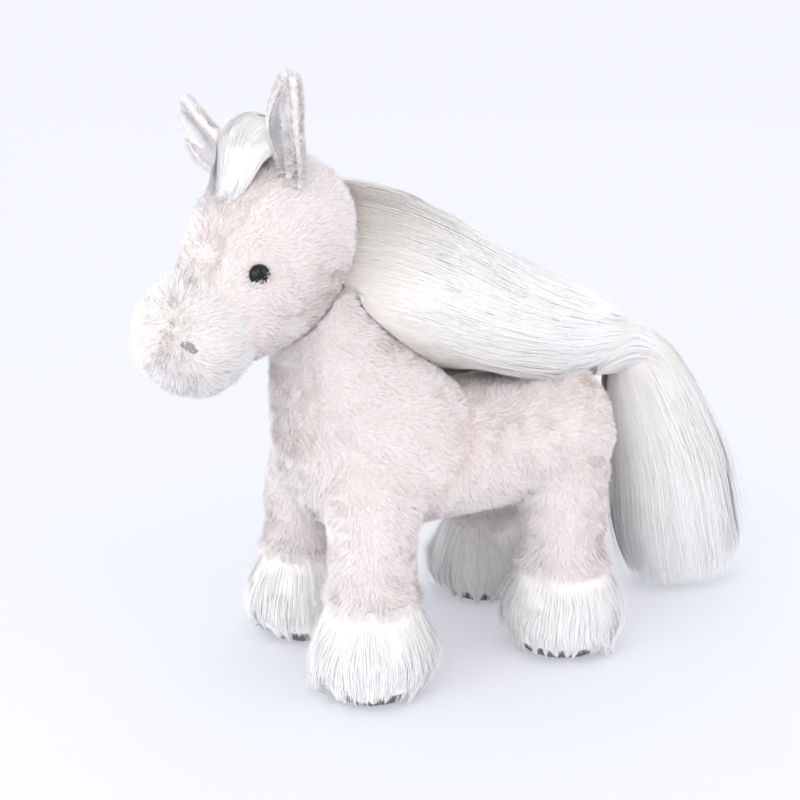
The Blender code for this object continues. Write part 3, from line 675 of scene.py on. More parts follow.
class Surface:
    """A skin as arrays, with the number of the frame's node that each point belongs to."""

    def __init__(self, bm, names, inset):
        bmesh.ops.recalc_face_normals(bm, faces=bm.faces)
        bm.normal_update()
        self.points = np.array([v.co for v in bm.verts])
        self.normals = np.array([v.normal for v in bm.verts])
        self.faces = [[v.index for v in f.verts] for f in bm.faces]
        lumps = value_noise(self.points, LUMP_SIZE, 5) * LUMP_HEIGHT
        self.points += self.normals * (lumps - inset)[:, None]
        self.names = names
        self.labels = self.nearest(names)
        self.triangles = np.array([t for f in self.faces for t in self.fan(f)])
        self.triangle_labels = self.labels[self.triangles[:, 0]]
        bm.free()

    @staticmethod
    def fan(face):
        return [(face[0], face[k], face[k + 1]) for k in range(1, len(face) - 1)]

    def nearest(self, names):
        best = np.full(len(self.points), 1e9)
        labels = np.zeros(len(self.points), int)
        for k, name in enumerate(names):
            mesh = nodes[name].data
            tree = BVHTree.FromPolygons([v.co for v in mesh.vertices], [p.vertices for p in mesh.polygons])
            reach = np.array([tree.find_nearest(Vector(p))[3] for p in self.points])
            labels[reach < best] = k
            best = np.minimum(best, reach)
        return labels

    def seam_distance(self, points, first, second):
        """How far points lie from the seam between two of the nodes."""
        a, b = self.names.index(first), self.names.index(second)
        pairs = []
        for face in self.faces:
            found = {self.labels[i] for i in face}
            if a in found and b in found:
                pairs.append(self.points[face].mean(axis=0))
        tree = kd_tree(pairs)
        return np.array([tree.find(p)[2] for p in points])

    def sink(self, reach):
        """Draws the skin in where it lies within a seam's reach."""
        self.points -= self.normals * (GROOVE_DEPTH * dip(reach, GROOVE_WIDTH))[:, None]

    def scatter(self, name, count, rng):
        """Random points on one node's part of the skin, with the smooth normals there."""
        chosen = self.triangles[self.triangle_labels == self.names.index(name)]
        a, b, c = (self.points[chosen[:, k]] for k in range(3))
        areas = np.linalg.norm(np.cross(b - a, c - a), axis=1) / 2
        if count is None:
            count = int(areas.sum() * STRANDS_PER_AREA * DENSITY)
        picks = rng.choice(len(chosen), count, p=areas / areas.sum())
        u, v = rng.random(count), rng.random(count)
        over = u + v > 1
        u[over], v[over] = 1 - u[over], 1 - v[over]
        weights = np.stack((1 - u - v, u, v), axis=1)[..., None]
        corners = chosen[picks]
        return (self.points[corners] * weights).sum(1), unit((self.normals[corners] * weights).sum(1))

    def skin_piece(self, name, piece, slot):
        """The part of the skin that belongs to one node, as an object."""
        k = self.names.index(name)
        own = [f for f in self.faces if self.labels[f[0]] == k]
        used = sorted({i for f in own for i in f})
        place = {i: n for n, i in enumerate(used)}
        made = add_mesh(piece, self.points[used], [[place[i] for i in f] for f in own], slot)
        tones = 0.85 + 0.12 * value_noise(self.points[used], NAP_PATCH, 11)
        heights = 0.35 + 0.1 * value_noise(self.points[used], NAP_PATCH, 12)
        paint_map(made.data, tones, heights)
        return made

    def tree(self):
        return BVHTree.FromPolygons([Vector(p) for p in self.points], self.faces)


def tuft(points, rng):
    """Moves of the strands' tips towards the middle of the tuft that each one belongs to."""
    count = max(len(points) // TUFT_STRANDS, 1)
    centres = points[rng.choice(len(points), count, replace=False)]
    tree = kd_tree(centres)
    own = np.array([tree.find(p)[1] for p in points])
    away = centres[own] - points
    far = np.linalg.norm(away, axis=1, keepdims=True)
    return away * np.clip(TUFT_SPACING / np.maximum(far, 1e-9), 0, 1) * TUFT_PULL


def pile(
    name, roots, normals, guide, slot, rng, length,
    stretch=(1.0, 1.0, 1.0), swirl=0.9, pale_and_painted_light=0.0, lowered=None, painted_shade_by_length=0.9,
):
    """Short strands that lean along the nap. The nap follows the guide, turned about by noise, and
    strands stand up where the guide points out of the skin."""
    count = len(roots)
    stretched = roots * np.array(stretch)
    nap = guide - normals * (guide * normals).sum(-1, keepdims=True)
    along = np.linalg.norm(nap, axis=1, keepdims=True) / np.linalg.norm(guide)
    nap *= 1 / np.maximum(along, WHORL_SHARE)
    nap += swirl * (vector_noise(stretched, NAP_PATCH, 21) + 0.8 * vector_noise(stretched, NAP_SWIRL, 31))
    nap += 0.28 * rng.normal(size=(count, 3))
    nap -= normals * (nap * normals).sum(1, keepdims=True)
    nap = unit(nap)
    lean = np.radians(52 + 12 * value_noise(stretched, NAP_PATCH, 41) + 9 * rng.normal(size=count))[:, None]
    size = length * (0.78 + 0.22 * value_noise(stretched, NAP_PATCH, 51) + 0.28 * rng.random(count))
    lean = lean * np.interp(along, (0.0, 2 * WHORL_SHARE), (WHORL_LEAN, 1.0))
    if lowered is not None:
        size = size * lowered
        lean = lean + np.radians(14) * (1 - lowered[:, None])
    size = size[:, None]
    tips = roots + (normals * np.cos(lean) + nap * np.sin(lean)) * size
    tips += tuft(roots, rng)
    roll = np.radians(rng.normal(size=count) * 9)[:, None]
    looks = normals * np.cos(roll) + np.cross(nap, normals) * np.sin(roll)
    widths = PILE_WIDTH * (0.75 + 0.5 * rng.random(count))
    # The pale share makes strands paler: partly the plush's own paler tone, partly painted light that
    # callers set by the way the skin faces.
    tones = 0.84 + pale_and_painted_light + 0.11 * value_noise(stretched, NAP_PATCH, 61)
    tones += 0.07 * value_noise(stretched, NAP_SWIRL, 71)
    tones += 0.07 * rng.normal(size=count)
    # Painted shade: where the pile is lowered, in the seams and the dimples round the eyes and nostrils,
    # strands darken. On the legs' fringe they darken a little, and on the ears' rear edge they turn paler.
    if lowered is not None:
        tones -= painted_shade_by_length * (1 - lowered)
    return blades(name, roots, tips, looks, widths, np.clip(tones, 0, 1), slot)


def line_distance(points, line):
    """How far points lie from a run of straight pieces."""
    best = np.full(len(points), 1e9)
    for start, end in zip(line[:-1], line[1:]):
        run = end - start
        t = np.clip(((points - start) @ run) / (run @ run), 0, 1)
        best = np.minimum(best, np.linalg.norm(points - start - t[:, None] * run, axis=1))
    return best


def head_point(along, off, across):
    """World places from the head's own: along its axis, off it towards the brow, and across."""
    slope_cos, slope_sin = math.cos(HEAD_SLOPE), math.sin(HEAD_SLOPE)
    y = SKULL_BACK_Y - along * slope_cos - off * slope_sin
    z = SKULL_BACK_HEIGHT - along * slope_sin + off * slope_cos
    local = np.stack(np.broadcast_arrays(across, y, z), axis=-1) - np.array(HEAD_PIVOT)
    return local @ np.array(HEAD_TURN).T + np.array(HEAD_PIVOT)


def head_direction(along, off, across):
    """World direction of one given in the head's own axes."""
    slope_cos, slope_sin = math.cos(HEAD_SLOPE), math.sin(HEAD_SLOPE)
    local = Vector((across, -along * slope_cos - off * slope_sin, -along * slope_sin + off * slope_cos))
    return np.array(HEAD_TURN @ local)


def dress_body():
    """Neck, barrel and legs: one smooth skin, cut into its pieces, each with its pile."""
    legs = [f"{end}_{side}" for side in SIDES for end in HOOF_PLACES]
    skins = ["neck_and_shoulder_skin", "barrel_skin"] + [leg + "_leg_skin" for leg in legs]
    fills = ["neck_and_shoulder_stuffing", "barrel_stuffing"] + [leg + "_leg_stuffing" for leg in legs]
    surface = Surface(remeshed(joined(skins + fills, shanks=True), BODY_VOXEL, 10), skins, SKIN_INSET)
    surface.sink(surface.seam_distance(surface.points, "neck_and_shoulder_skin", "barrel_skin"))
    for side in SIDES.values():
        surface.sink(line_distance(surface.points, np.array(CHEST_SEAM) * (side, 1.0, 1.0)))
    rng = np.random.default_rng(101)
    for skin in skins:
        piece = skin.replace("_skin", "_plush")
        base = surface.skin_piece(skin, piece, "short_plush")
        roots, normals = surface.scatter(skin, None, rng)
        leg = "leg" in skin
        if leg:
            keep = roots[:, 2] > CUFF_SEAM_HEIGHT - FRINGE_DROP
            roots, normals = roots[keep], normals[keep]
        guide = np.array((0.0, 0.25, -1.0)) if leg else np.array((0.0, 0.7, -0.7))
        if leg:
            lowered = 1 + FRINGE_SHARE * dip(roots[:, 2] - CUFF_SEAM_HEIGHT, FRINGE_DROP)
        else:
            reach = surface.seam_distance(roots, "neck_and_shoulder_skin", "barrel_skin")
            lowered = 1 - 0.45 * dip(reach, SEAM_REACH)
            for side in SIDES.values():
                reach = line_distance(roots, np.array(CHEST_SEAM) * (side, 1.0, 1.0))
                lowered *= 1 - 0.5 * dip(reach, SEAM_WIDTH)
        # Painted light: pile on skin that faces the front is paler, lifting the shade on the chest under
        # the head.
        pale_and_painted_light = 0.4 * np.clip(-normals[:, 1], 0, 1)
        # The seams' lowered pile is darker: painted shade along the girth and chest seams, and a little on
        # the legs' fringe over the cuffs.
        fur = pile(
            piece + "_pile", roots, normals, guide, "short_plush", rng, PILE_LENGTH,
            stretch=(0.7, 0.7, 1.5) if leg else (1.0, 1.0, 1.0),
            pale_and_painted_light=pale_and_painted_light, lowered=lowered, painted_shade_by_length=-0.1 if leg else 0.9,
        )
        dress(base, fur, skin)
    return surface


def carry(piece, body="base", stands_for=None):
    """Puts a piece on its body, and in the place of the frame's node that it stands for."""
    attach(piece, body)
    if stands_for is not None:
        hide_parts(stands_for)


def dress(base, fur, skin, body="base"):
    fur.parent = base
    carry(base, body, skin)
    carry(fur, body)


def clear_of_face(roots, lowered, eyes, nostrils):
    """Which strands stand clear of the eyes and nostrils. Those near them are lowered, and pile darkens
    them for it as painted shade.
    """
    keep = np.ones(len(roots), bool)
    for eye in eyes:
        away = np.linalg.norm(roots - np.array(eye), axis=1)
        keep &= away > EYE_CLEARANCE
        lowered *= 1 - 0.35 * dip(away, EYE_DIMPLE)
    for middle, axes in nostrils:
        local = (roots - middle) @ axes.T / (NOSTRIL_LENGTH / 2, NOSTRIL_WIDTH / 2, NOSTRIL_LENGTH)
        away = np.linalg.norm(local, axis=1)
        keep &= away > NOSTRIL_BARE_SHARE
        lowered *= 1 - 0.4 * dip(away, NOSTRIL_DIMPLE_SHARE)
    return keep


def dress_head():
    """Head and muzzle: one smooth skin with the forehead's seams, cut into its two pieces."""
    skins = ["head_skin", "muzzle_skin"]
    surface = Surface(remeshed(joined(skins + ["head_stuffing"]), HEAD_VOXEL, 14), skins, HEAD_INSET)
    rng = np.random.default_rng(202)
    back = head_direction(-1.0, 0.0, 0.0)
    eyes = [sum(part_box(side + "_eye"), Vector()) / 2 for side in SIDES]
    nostrils = [nostril_axes(side_name, surface.tree()) for side_name in SIDES]
    gusset = np.array(GUSSET_SEAM_SHARES) * (HEAD_LENGTH, HEAD_DEPTH, HEAD_WIDTH)
    seams = [head_point(gusset[:, 0], gusset[:, 1], gusset[:, 2] * side) for side in SIDES.values()]
    for seam in seams:
        surface.sink(line_distance(surface.points, seam))
    for skin, slot, length, pale_and_painted_light, guide in (
        ("head_skin", "short_plush", PILE_LENGTH, 0.05, back * 0.8 + np.array((0.0, 0.0, -0.2))),
        ("muzzle_skin", "muzzle_plush", MUZZLE_PILE_LENGTH, 0.2, back * 0.7 + np.array((0.0, 0.0, -0.5))),
    ):
        piece = skin.replace("_skin", "_plush")
        base = surface.skin_piece(skin, piece, slot)
        roots, normals = surface.scatter(skin, None, rng)
        reach = surface.seam_distance(roots, "head_skin", "muzzle_skin")
        # Paler by the muzzle's seam: the muzzle's own white running into the head. Paler on skin that faces
        # the front: painted light that lifts the shade on the forehead and the muzzle's front.
        pale_and_painted_light = pale_and_painted_light + 0.2 * dip(reach, MUZZLE_BLEND) + 0.15 * np.clip(-normals[:, 1], 0, 1)
        # Pile lowered by the seams, eyes and nostrils is darkened in pile: painted shade in these creases
        # and dimples.
        lowered = 1 - 0.3 * dip(reach, SEAM_REACH)
        keep = clear_of_face(roots, lowered, eyes, nostrils)
        for seam in seams:
            lowered *= 1 - 0.3 * dip(line_distance(roots, seam), SEAM_WIDTH)
        roots, normals, lowered, pale_and_painted_light = roots[keep], normals[keep], lowered[keep], pale_and_painted_light[keep]
        fur = pile(
            piece + "_pile", roots, normals, guide, slot, rng, length,
            swirl=0.7, pale_and_painted_light=pale_and_painted_light, lowered=lowered,
        )
        dress(base, fur, skin)
    return surface


def strand_params(count, rng, shortest, drift):
    """Places of hair strands in a lock's own two shares, on its outline, at each point of their
    length. Each one drifts a little way round the lock, and a few fly off."""
    reach = shortest + (1 - shortest) * rng.random(count) ** 0.7
    share = np.linspace(0, 1, HAIR_POINTS)[None] * reach[:, None]
    angle = math.tau * rng.random((count, 1)) + drift * rng.normal(size=(count, 1)) * share
    flight = np.where(rng.random((count, 1)) < LOOSE_SHARE, FLIGHT_SHARE * rng.random((count, 1)) ** 2, 0.0)
    radius = 1 + LAYER_SHARE * rng.random((count, 1)) + flight * share**2
    return np.stack((0.5 + 0.5 * radius * np.sin(angle), radius * np.cos(angle)), axis=-1), share


def locks(along, across, share, seed):
    """Raises and sinks a lock's outline into soft narrow locks that run along it."""
    away = np.stack((along * 2 - 1, across), -1)
    turn = unit(away)
    rows = np.stack((turn[..., 0], turn[..., 1], 0.35 * np.broadcast_to(share, turn.shape[:-1])), -1)
    away = away * (1 + LOCK_RELIEF_SHARE * value_noise(rows, LOCK_WIDTH_SHARE, seed))[..., None]
    return 0.5 + away[..., 0] / 2, away[..., 1]


def sway(points, share, size, amount, seed):
    """Bends the strands of a lock together, more towards their tips."""
    return points + vector_noise(points, size, seed) * (amount * share)[..., None]


def streaks(params, rng, pale, seed):
    """Tones of a lock's strands: bands a few strands wide, a shade darker or paler."""
    places = np.pad(params[:, 0], ((0, 0), (0, 1)))
    tones = pale + 0.08 * value_noise(places, 0.09, seed) + 0.05 * rng.normal(size=len(places))
    return np.clip(tones, 0, 1)


def ruffle(paths, share, rng, calm, loose, size, seed):
    """Wanders the strands off their course, a few of them much further than the rest."""
    amount = np.where(rng.random((len(paths), 1)) < LOOSE_SHARE, loose, calm)
    return paths + vector_noise(paths, size, seed) * (amount * share)[..., None]


def push_out(paths, tree, clearance):
    """Moves points that lie inside a surface, or too close to it, out along its normal."""
    flat = paths.reshape(-1, 3)
    for k, point in enumerate(flat):
        found, normal, _, reach = tree.find_nearest(Vector(point))
        depth = (Vector(point) - found).dot(normal)
        if depth < clearance and reach < PUSH_REACH:
            flat[k] = np.array(found + normal * clearance)
    return flat.reshape(paths.shape)


def mane_points(along, across, share):
    """A place in the mane: along the crest, across it, and out along the strand."""
    along, across = locks(along, across, share, 15)
    root = along_rows(CREST, along)
    end = mix(np.array(MANE_ENDS), along[..., None])
    lift = mix(MANE_LIFTS, along)
    lift_angle = mix(MANE_LIFT_ANGLES, along)
    fall = mix(MANE_FALLS, along)
    fall_angle = mix(MANE_FALL_ANGLES, along)
    first = root + np.stack((np.cos(lift_angle), np.sin(lift_angle)), -1) * lift[..., None]
    second = end - np.stack((np.cos(fall_angle), np.sin(fall_angle)), -1) * fall[..., None]
    t = share[..., None]
    flow = root * (1 - t) ** 3 + 3 * first * t * (1 - t) ** 2 + 3 * second * t * t * (1 - t) + end * t**3
    start = mix(MANE_ROOT_SHARES, along)
    swell = np.sin(np.pi * np.clip(share * 0.82 + 0.02, 0, 1)) ** 0.8
    width = MANE_HALF_WIDTH * (start + (1.09 - start) * swell)
    x = across * width
    z = flow[..., 1] - MANE_ROUNDING * np.sin(np.pi * np.clip(share, 0, 1)) * across**2
    wrap = MANE_WRAP * across**2 * np.clip(1 - share, 0, 1) ** 3
    return sway(np.stack((x, flow[..., 0] - wrap, z), -1), share, MANE_SWAY_SIZE, MANE_SWAY, 13)


def oval_looks(paths, centres, half_width, half_height):
    """The outward look of an oval bundle of hair at each point of its strands."""
    away = paths - centres
    away[..., 0] /= half_width
    away[..., 2] /= half_height
    away[..., 1] *= 0.3 / half_height
    return unit(away)


def hair_core(name, place, reaches, trees=()):
    """The closed bundle under a lock's outer strands, from its own two shares."""
    (low, high), width_share, reach = reaches
    angles = np.linspace(0, math.tau, CORE_AROUND, endpoint=False)
    rings = []
    for step in range(CORE_STEPS):
        share = np.full(CORE_AROUND, mix(reach, step / (CORE_STEPS - 1)))
        narrow = np.interp(step / (CORE_STEPS - 1), *np.transpose(CORE_SHARES))
        along = (low + high) / 2 + (high - low) / 2 * narrow * np.sin(angles)
        across = width_share * narrow * np.cos(angles)
        rings.append(place(along, across, share))
    points = np.concatenate(rings)
    for tree in trees:
        points = push_out(points, tree, CORE_CLEARANCE)
    faces = ring_faces(CORE_AROUND, CORE_STEPS)
    faces.append(tuple(range(CORE_AROUND))[::-1])
    faces.append(tuple(range(len(points) - CORE_AROUND, len(points))))
    made = add_mesh(name, points, faces, "long_pile")
    turns = [np.tile(turn, CORE_STEPS) for turn in (np.cos(angles), np.sin(angles))]
    rows = np.stack((*turns, np.repeat(np.linspace(0, 0.3, CORE_STEPS), CORE_AROUND)), -1)
    tones = 0.8 + 0.15 * value_noise(rows, 0.08, 7)
    paint_map(made.data, tones, np.repeat(np.linspace(0.1, 0.9, CORE_STEPS), CORE_AROUND))
    return made


def dress_hair(core, hair, node, body="base"):
    hair.parent = core
    carry(core, body, node)
    carry(hair, body)


def dress_mane(surface_trees):
    rng = np.random.default_rng(303)
    count = int(MANE_STRANDS * DENSITY)
    params, share = strand_params(count, rng, MANE_SHORTEST, MANE_DRIFT)
    paths = mane_points(params[..., 0], params[..., 1], share)
    paths = ruffle(paths, share, rng, *LONG_RUFFLE, 17)
    planned = paths.copy()
    for tree in surface_trees:
        paths = push_out(paths, tree, MANE_CLEARANCE)
    calm = np.linalg.norm(paths - planned, axis=2).max(axis=1) < MANE_STRAY
    params, share, paths = params[calm], share[calm], paths[calm]
    middle = mane_points(np.full_like(share, 0.5), np.zeros_like(share), share)
    looks = oval_looks(paths, middle, *MANE_OVAL)
    widths = HAIR_WIDTH * (0.7 + 0.6 * rng.random(len(paths)))
    hair = ribbons("mane_hair", paths, looks, widths, streaks(params, rng, HAIR_TONE, 19))
    dress_hair(hair_core("mane_core", mane_points, LONG_CORE, surface_trees), hair, "mane")


def tail_points(depth, across, share):
    """A place in the tail: from its inner to its outer side, across it, and along it."""
    depth, across = locks(depth, across, share, 25)
    rows = along_rows(TAIL_SECTIONS, share)
    inner, outer, half = rows[..., 0:2], rows[..., 2:4], rows[..., 4]
    middle, arm = (inner + outer) / 2, (outer - inner) / 2
    place = middle + arm * (depth * 2 - 1)[..., None]
    points = np.stack((across * half, place[..., 0], place[..., 1]), -1) + np.array(TAIL_ROOT)
    return sway(points, share, TAIL_SWAY_SIZE, TAIL_SWAY, 23)


def dress_tail():
    rng = np.random.default_rng(404)
    count = int(TAIL_STRANDS * DENSITY)
    params, share = strand_params(count, rng, TAIL_SHORTEST, TAIL_DRIFT)
    share = share * (1 - 0.08 * (params[:, :1, 0] * 2 - 1) ** 2)
    paths = tail_points(params[..., 0], params[..., 1], share)
    paths = ruffle(paths, share, rng, *LONG_RUFFLE, 27)
    middle = tail_points(np.full_like(share, 0.5), np.zeros_like(share), share)
    looks = unit((paths - middle) * np.array((2.0, 1.0, 0.6)))
    widths = HAIR_WIDTH * (0.8 + 0.6 * rng.random(count))
    hair = ribbons("tail_hair", paths, looks, widths, streaks(params, rng, HAIR_TONE, 29))
    dress_hair(hair_core("tail_core", tail_points, LONG_CORE), hair, "tail", "tail")


def dress_dock(body_tree):
    """The tuft that covers the tape, from the rump's seam into the tail."""
    rng = np.random.default_rng(454)
    count = int(DOCK_STRANDS * DENSITY)
    around = rng.random(count) * math.tau
    share = np.linspace(0, 1, HAIR_POINTS)[None] * (0.6 + 0.4 * rng.random(count))[:, None]
    rows = along_rows(DOCK_SECTIONS, share)
    out = (0.75 + 0.25 * rng.random(count))[:, None]
    x = rows[..., 2] * np.cos(around)[:, None] * out
    z = rows[..., 1] + rows[..., 3] * np.sin(around)[:, None] * out
    paths = np.stack((x, rows[..., 0], z), -1)
    paths += vector_noise(paths, DOCK_RUFFLE_SIZE, 53) * (DOCK_RUFFLE * share)[..., None]
    paths = push_out(paths, body_tree, HAIR_CLEARANCE)
    middle = np.stack((np.zeros_like(share), rows[..., 0], rows[..., 1]), -1)
    tones = np.clip(HAIR_TONE + 0.06 * rng.normal(size=count), 0, 1)
    hair = ribbons("dock_hair", paths, unit(paths - middle), np.full(count, HAIR_WIDTH), tones)
    carry(hair, "tail_tape")


def forelock_points(depth, across, share):
    """A place in the forelock: from the brow out, across it, and along it."""
    depth, across = locks(depth, across, share, 35)
    rows = along_rows(FORELOCK_SECTION_SHARES, share)
    along = rows[..., 0] * HEAD_LENGTH
    off = (rows[..., 2] + (rows[..., 1] - rows[..., 2]) * depth * (1 - 0.45 * across**2)) * HEAD_DEPTH
    points = head_point(along, off, across * rows[..., 3] * HEAD_WIDTH / 2)
    return sway(points, share, FORELOCK_SWAY_SIZE, FORELOCK_SWAY, 33)


def dress_forelock(head_tree):
    rng = np.random.default_rng(505)
    count = int(FORELOCK_STRANDS * DENSITY)
    params, share = strand_params(count, rng, FORELOCK_SHORTEST, FORELOCK_DRIFT)
    paths = forelock_points(params[..., 0], params[..., 1], share)
    paths = ruffle(paths, share, rng, *FORELOCK_RUFFLE, 37)
    paths = push_out(paths, head_tree, HAIR_CLEARANCE)
    middle = forelock_points(np.full_like(share, 0.2), np.zeros_like(share), share)
    looks = unit(unit(paths - middle) + np.array(FORELOCK_LIFT))
    widths = HAIR_WIDTH * (0.7 + 0.5 * rng.random(count))
    hair = ribbons("forelock_hair", paths, looks, widths, streaks(params, rng, FORELOCK_TONE, 39))
    dress_hair(hair_core("forelock_core", forelock_points, FORELOCK_CORE), hair, "forelock")


def bell_radius(down):
    """A cuff's half width at shares of its height, counted down from the seam."""
    heights, shares = np.transpose(CUFF_BELL_SHARES)
    places = np.interp(down, heights, np.linspace(0, 1, len(heights)))
    return along_rows(shares[:, None], places)[..., 0] * CUFF_RADIUS


def cuff_points(around, root, flare, fall, share):
    """A place in a cuff: a strand's angle, how far down the leg it is rooted, how far out it
    springs and how far it falls, and how far along it the place is."""
    height = CUFF_SEAM_HEIGHT * (1 - root) - fall * (0.5 * share + 0.5 * share**2)
    bell = bell_radius(np.clip(1 - height / CUFF_SEAM_HEIGHT, 0, 1))
    out = LEG_RADIUS - CUFF_ROOT_DEPTH + (bell - LEG_RADIUS) * flare * (1 - (1 - share) ** 1.4)
    return np.stack((out * np.cos(around), out * np.sin(around), height), -1)


def cuff_paths(count, rng, at):
    """Strands of one cuff. They are rooted all over the lower leg, fall as a skirt, and gather
    into tufts, tightest at the sole."""
    total = CUFF_GUIDES + count
    around = rng.random(total) * math.tau
    root = 0.74 * rng.random(total) ** 1.2
    flare = 0.7 + 0.3 * rng.random(total) ** 0.5
    flare[CUFF_GUIDES:] += np.where(rng.random(count) < 0.3, 0.3 * rng.random(count), 0.0)
    fall = CUFF_PILE_LENGTH * (0.8 + 0.45 * rng.random(total))
    tip = CUFF_TIP_HEIGHT * (0.7 + 0.6 * rng.random(total))
    tip[:CUFF_GUIDES] = CUFF_SPIKE_HEIGHT * rng.random(CUFF_GUIDES)
    fall = np.minimum(fall, CUFF_SEAM_HEIGHT * (1 - root) - tip)
    rows = np.stack((around, root, flare, fall), axis=1)
    guide, own = rows[:CUFF_GUIDES], rows[CUFF_GUIDES:]
    guide[:, 0] += 0.07 * rng.normal(size=CUFF_GUIDES)
    guide_places, own_places = (
        [(math.cos(row[0]), math.sin(row[0]), row[1] * 1.6) for row in strands] for strands in (guide, own)
    )
    tree = kd_tree(guide_places)
    near = guide[[tree.find(place)[1] for place in own_places]]
    near[:, 0] = own[:, 0] + (near[:, 0] - own[:, 0] + math.pi) % math.tau - math.pi
    share = np.linspace(0, 1, HAIR_POINTS)[None]
    grip = np.interp(own[:, 1], (0.1, 0.4), (0.1, 0.97)) * np.where(rng.random(count) < 0.6, 1.0, 0.3)
    held = (grip[:, None] * share**2)[..., None]
    rows = own[:, None] * (1 - held) + near[:, None] * held
    rows[..., 0] += 0.035 * rng.normal(size=(count, 1)) * share * (1 - held[..., 0])
    paths = cuff_points(*np.moveaxis(rows, -1, 0), share)
    paths = ruffle(paths + at, share, rng, *CUFF_RUFFLE, 43) - at
    paths[..., 2] = np.maximum(paths[..., 2], CUFF_LOWEST)
    return paths


def dress_cuff(end, y, side_name, side, seed):
    name = f"{end}_{side_name}_cuff"
    rng = np.random.default_rng(seed)
    at = np.array((side * HOOF_SPREAD / 2, y, 0.0))
    count = int(CUFF_STRANDS * DENSITY)
    paths = cuff_paths(count, rng, at)
    looks = unit(paths * np.array((1.0, 1.0, 0.0)) + np.array((0.0, 0.0, CUFF_LOOK_RISE)))
    tones = np.clip(CUFF_TONE + 0.07 * rng.normal(size=count), 0, 1)
    widths = HAIR_WIDTH * (0.7 + 0.6 * rng.random(count))
    hair = ribbons(name + "_hair", paths + at, looks, widths, tones)
    dress_hair(cuff_core(name + "_core", at), hair, name)


def dress_cuffs():
    for k, (end, y) in enumerate(HOOF_PLACES.items()):
        for side_name, side in SIDES.items():
            dress_cuff(end, y, side_name, side, 600 + k * 2 + (side > 0))


def cuff_core(name, at):
    """The cuff's backing with the pile that is too dense to tell apart: a bell over the sole."""
    around, steps = CUFF_CORE_AROUND, CUFF_CORE_STEPS
    angles = np.linspace(0, math.tau, around, endpoint=False)
    rings = []
    for k in range(steps):
        share = k / (steps - 1)
        down = np.full(around, share * CUFF_CORE_REACH)
        swell = 0.6 * math.sin(math.pi * min(share * 0.8, 0.5))
        radius = LEG_RADIUS + (bell_radius(down) - LEG_RADIUS) * swell
        height = (CUFF_SEAM_HEIGHT - CUFF_CORE_DROP) * (1 - down)
        rings.append(np.stack((radius * np.cos(angles), radius * np.sin(angles), height), -1) + at)
    points = np.concatenate(rings)
    made = add_mesh(name, points, ring_faces(around, steps, inward=True), "long_pile")
    grain = value_noise(points * np.array((1.0, 1.0, 0.2)), 0.003, 3)
    paint_map(made.data, np.clip(0.8 + 0.15 * grain, 0, 1), np.repeat(np.linspace(0.3, 0.6, steps), around))
    return made


def dress_ear(side_name, rng):
    """An ear's plush back, its velour lining, and the plush that folds over the lining's rear."""
    back_name, lining_name = "ear_back_" + side_name, "ear_lining_" + side_name
    body = "ear_" + side_name
    back = node_skin(back_name, EAR_VOXEL, 4, EAR_INSET)
    base = back.skin_piece(back_name, back_name + "_plush", "ear_plush")
    lining = node_skin(lining_name, LINING_VOXEL, 2, LINING_INSET)
    velour = lining.skin_piece(lining_name, lining_name + "_velour", "ear_lining")
    roots, normals = back.scatter(back_name, int(EAR_STRANDS * DENSITY), rng)
    lining_tree = lining.tree()
    reach = np.array([lining_tree.find_nearest(Vector(p))[3] for p in roots])
    free = reach > LINING_COVER
    roots, normals = roots[free], normals[free]
    rear = np.array((SIDES[side_name] * REARWARD[0], REARWARD[1], 0.0))
    middle = lining.points.mean(axis=0)
    width = np.abs((lining.points - middle) @ rear).max()
    front = np.clip(-((roots - middle) @ rear) / width - 0.4, 0, 1)
    low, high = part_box(back_name)
    up = unit(np.array(high + low) / 2 - np.array(HEAD_PIVOT) + np.array(EAR_LEAN))
    fur = pile(
        back_name + "_pile", roots, normals, up, "ear_plush", rng, EAR_PILE_LENGTH,
        swirl=0.35, pale_and_painted_light=0.15, lowered=1 - 0.75 * front, painted_shade_by_length=0.0,
    )
    dress(base, fur, back_name, body)
    roots, normals = lining.scatter(lining_name, int(LINING_STRANDS * DENSITY), rng)
    behind = (roots - middle) @ rear > width * EAR_FOLD_SHARE
    nap = pile(
        lining_name + "_nap", roots[~behind], normals[~behind], up, "ear_lining", rng, LINING_PILE_LENGTH,
        swirl=0.3,
    )
    rearmost = np.clip((roots[behind] - middle) @ rear / width, 0, 1)
    guide = up + rear * (EAR_EDGE_TURN * rearmost.mean() - 0.5)
    edge = pile(
        back_name + "_edge", roots[behind], normals[behind], guide, "ear_plush", rng, EAR_PILE_LENGTH,
        swirl=0.5, pale_and_painted_light=0.15, lowered=1 + 0.3 * rearmost,
    )
    edge.parent = base
    carry(edge, body)
    dress(velour, nap, lining_name, body)


def dress_ears():
    rng = np.random.default_rng(707)
    for side_name in SIDES:
        dress_ear(side_name, rng)


def nostril_axes(side_name, tree):
    """A nostril's middle on the muzzle, and its long way, its short way and its way out."""
    low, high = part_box(side_name + "_nostril")
    found, normal, _, _ = tree.find_nearest((low + high) / 2)
    long_way = Vector((SIDES[side_name] * REARWARD[0], REARWARD[1], -0.5))
    long_way = (long_way - normal * long_way.dot(normal)).normalized()
    return np.array(found), np.array((long_way, normal.cross(long_way), normal))


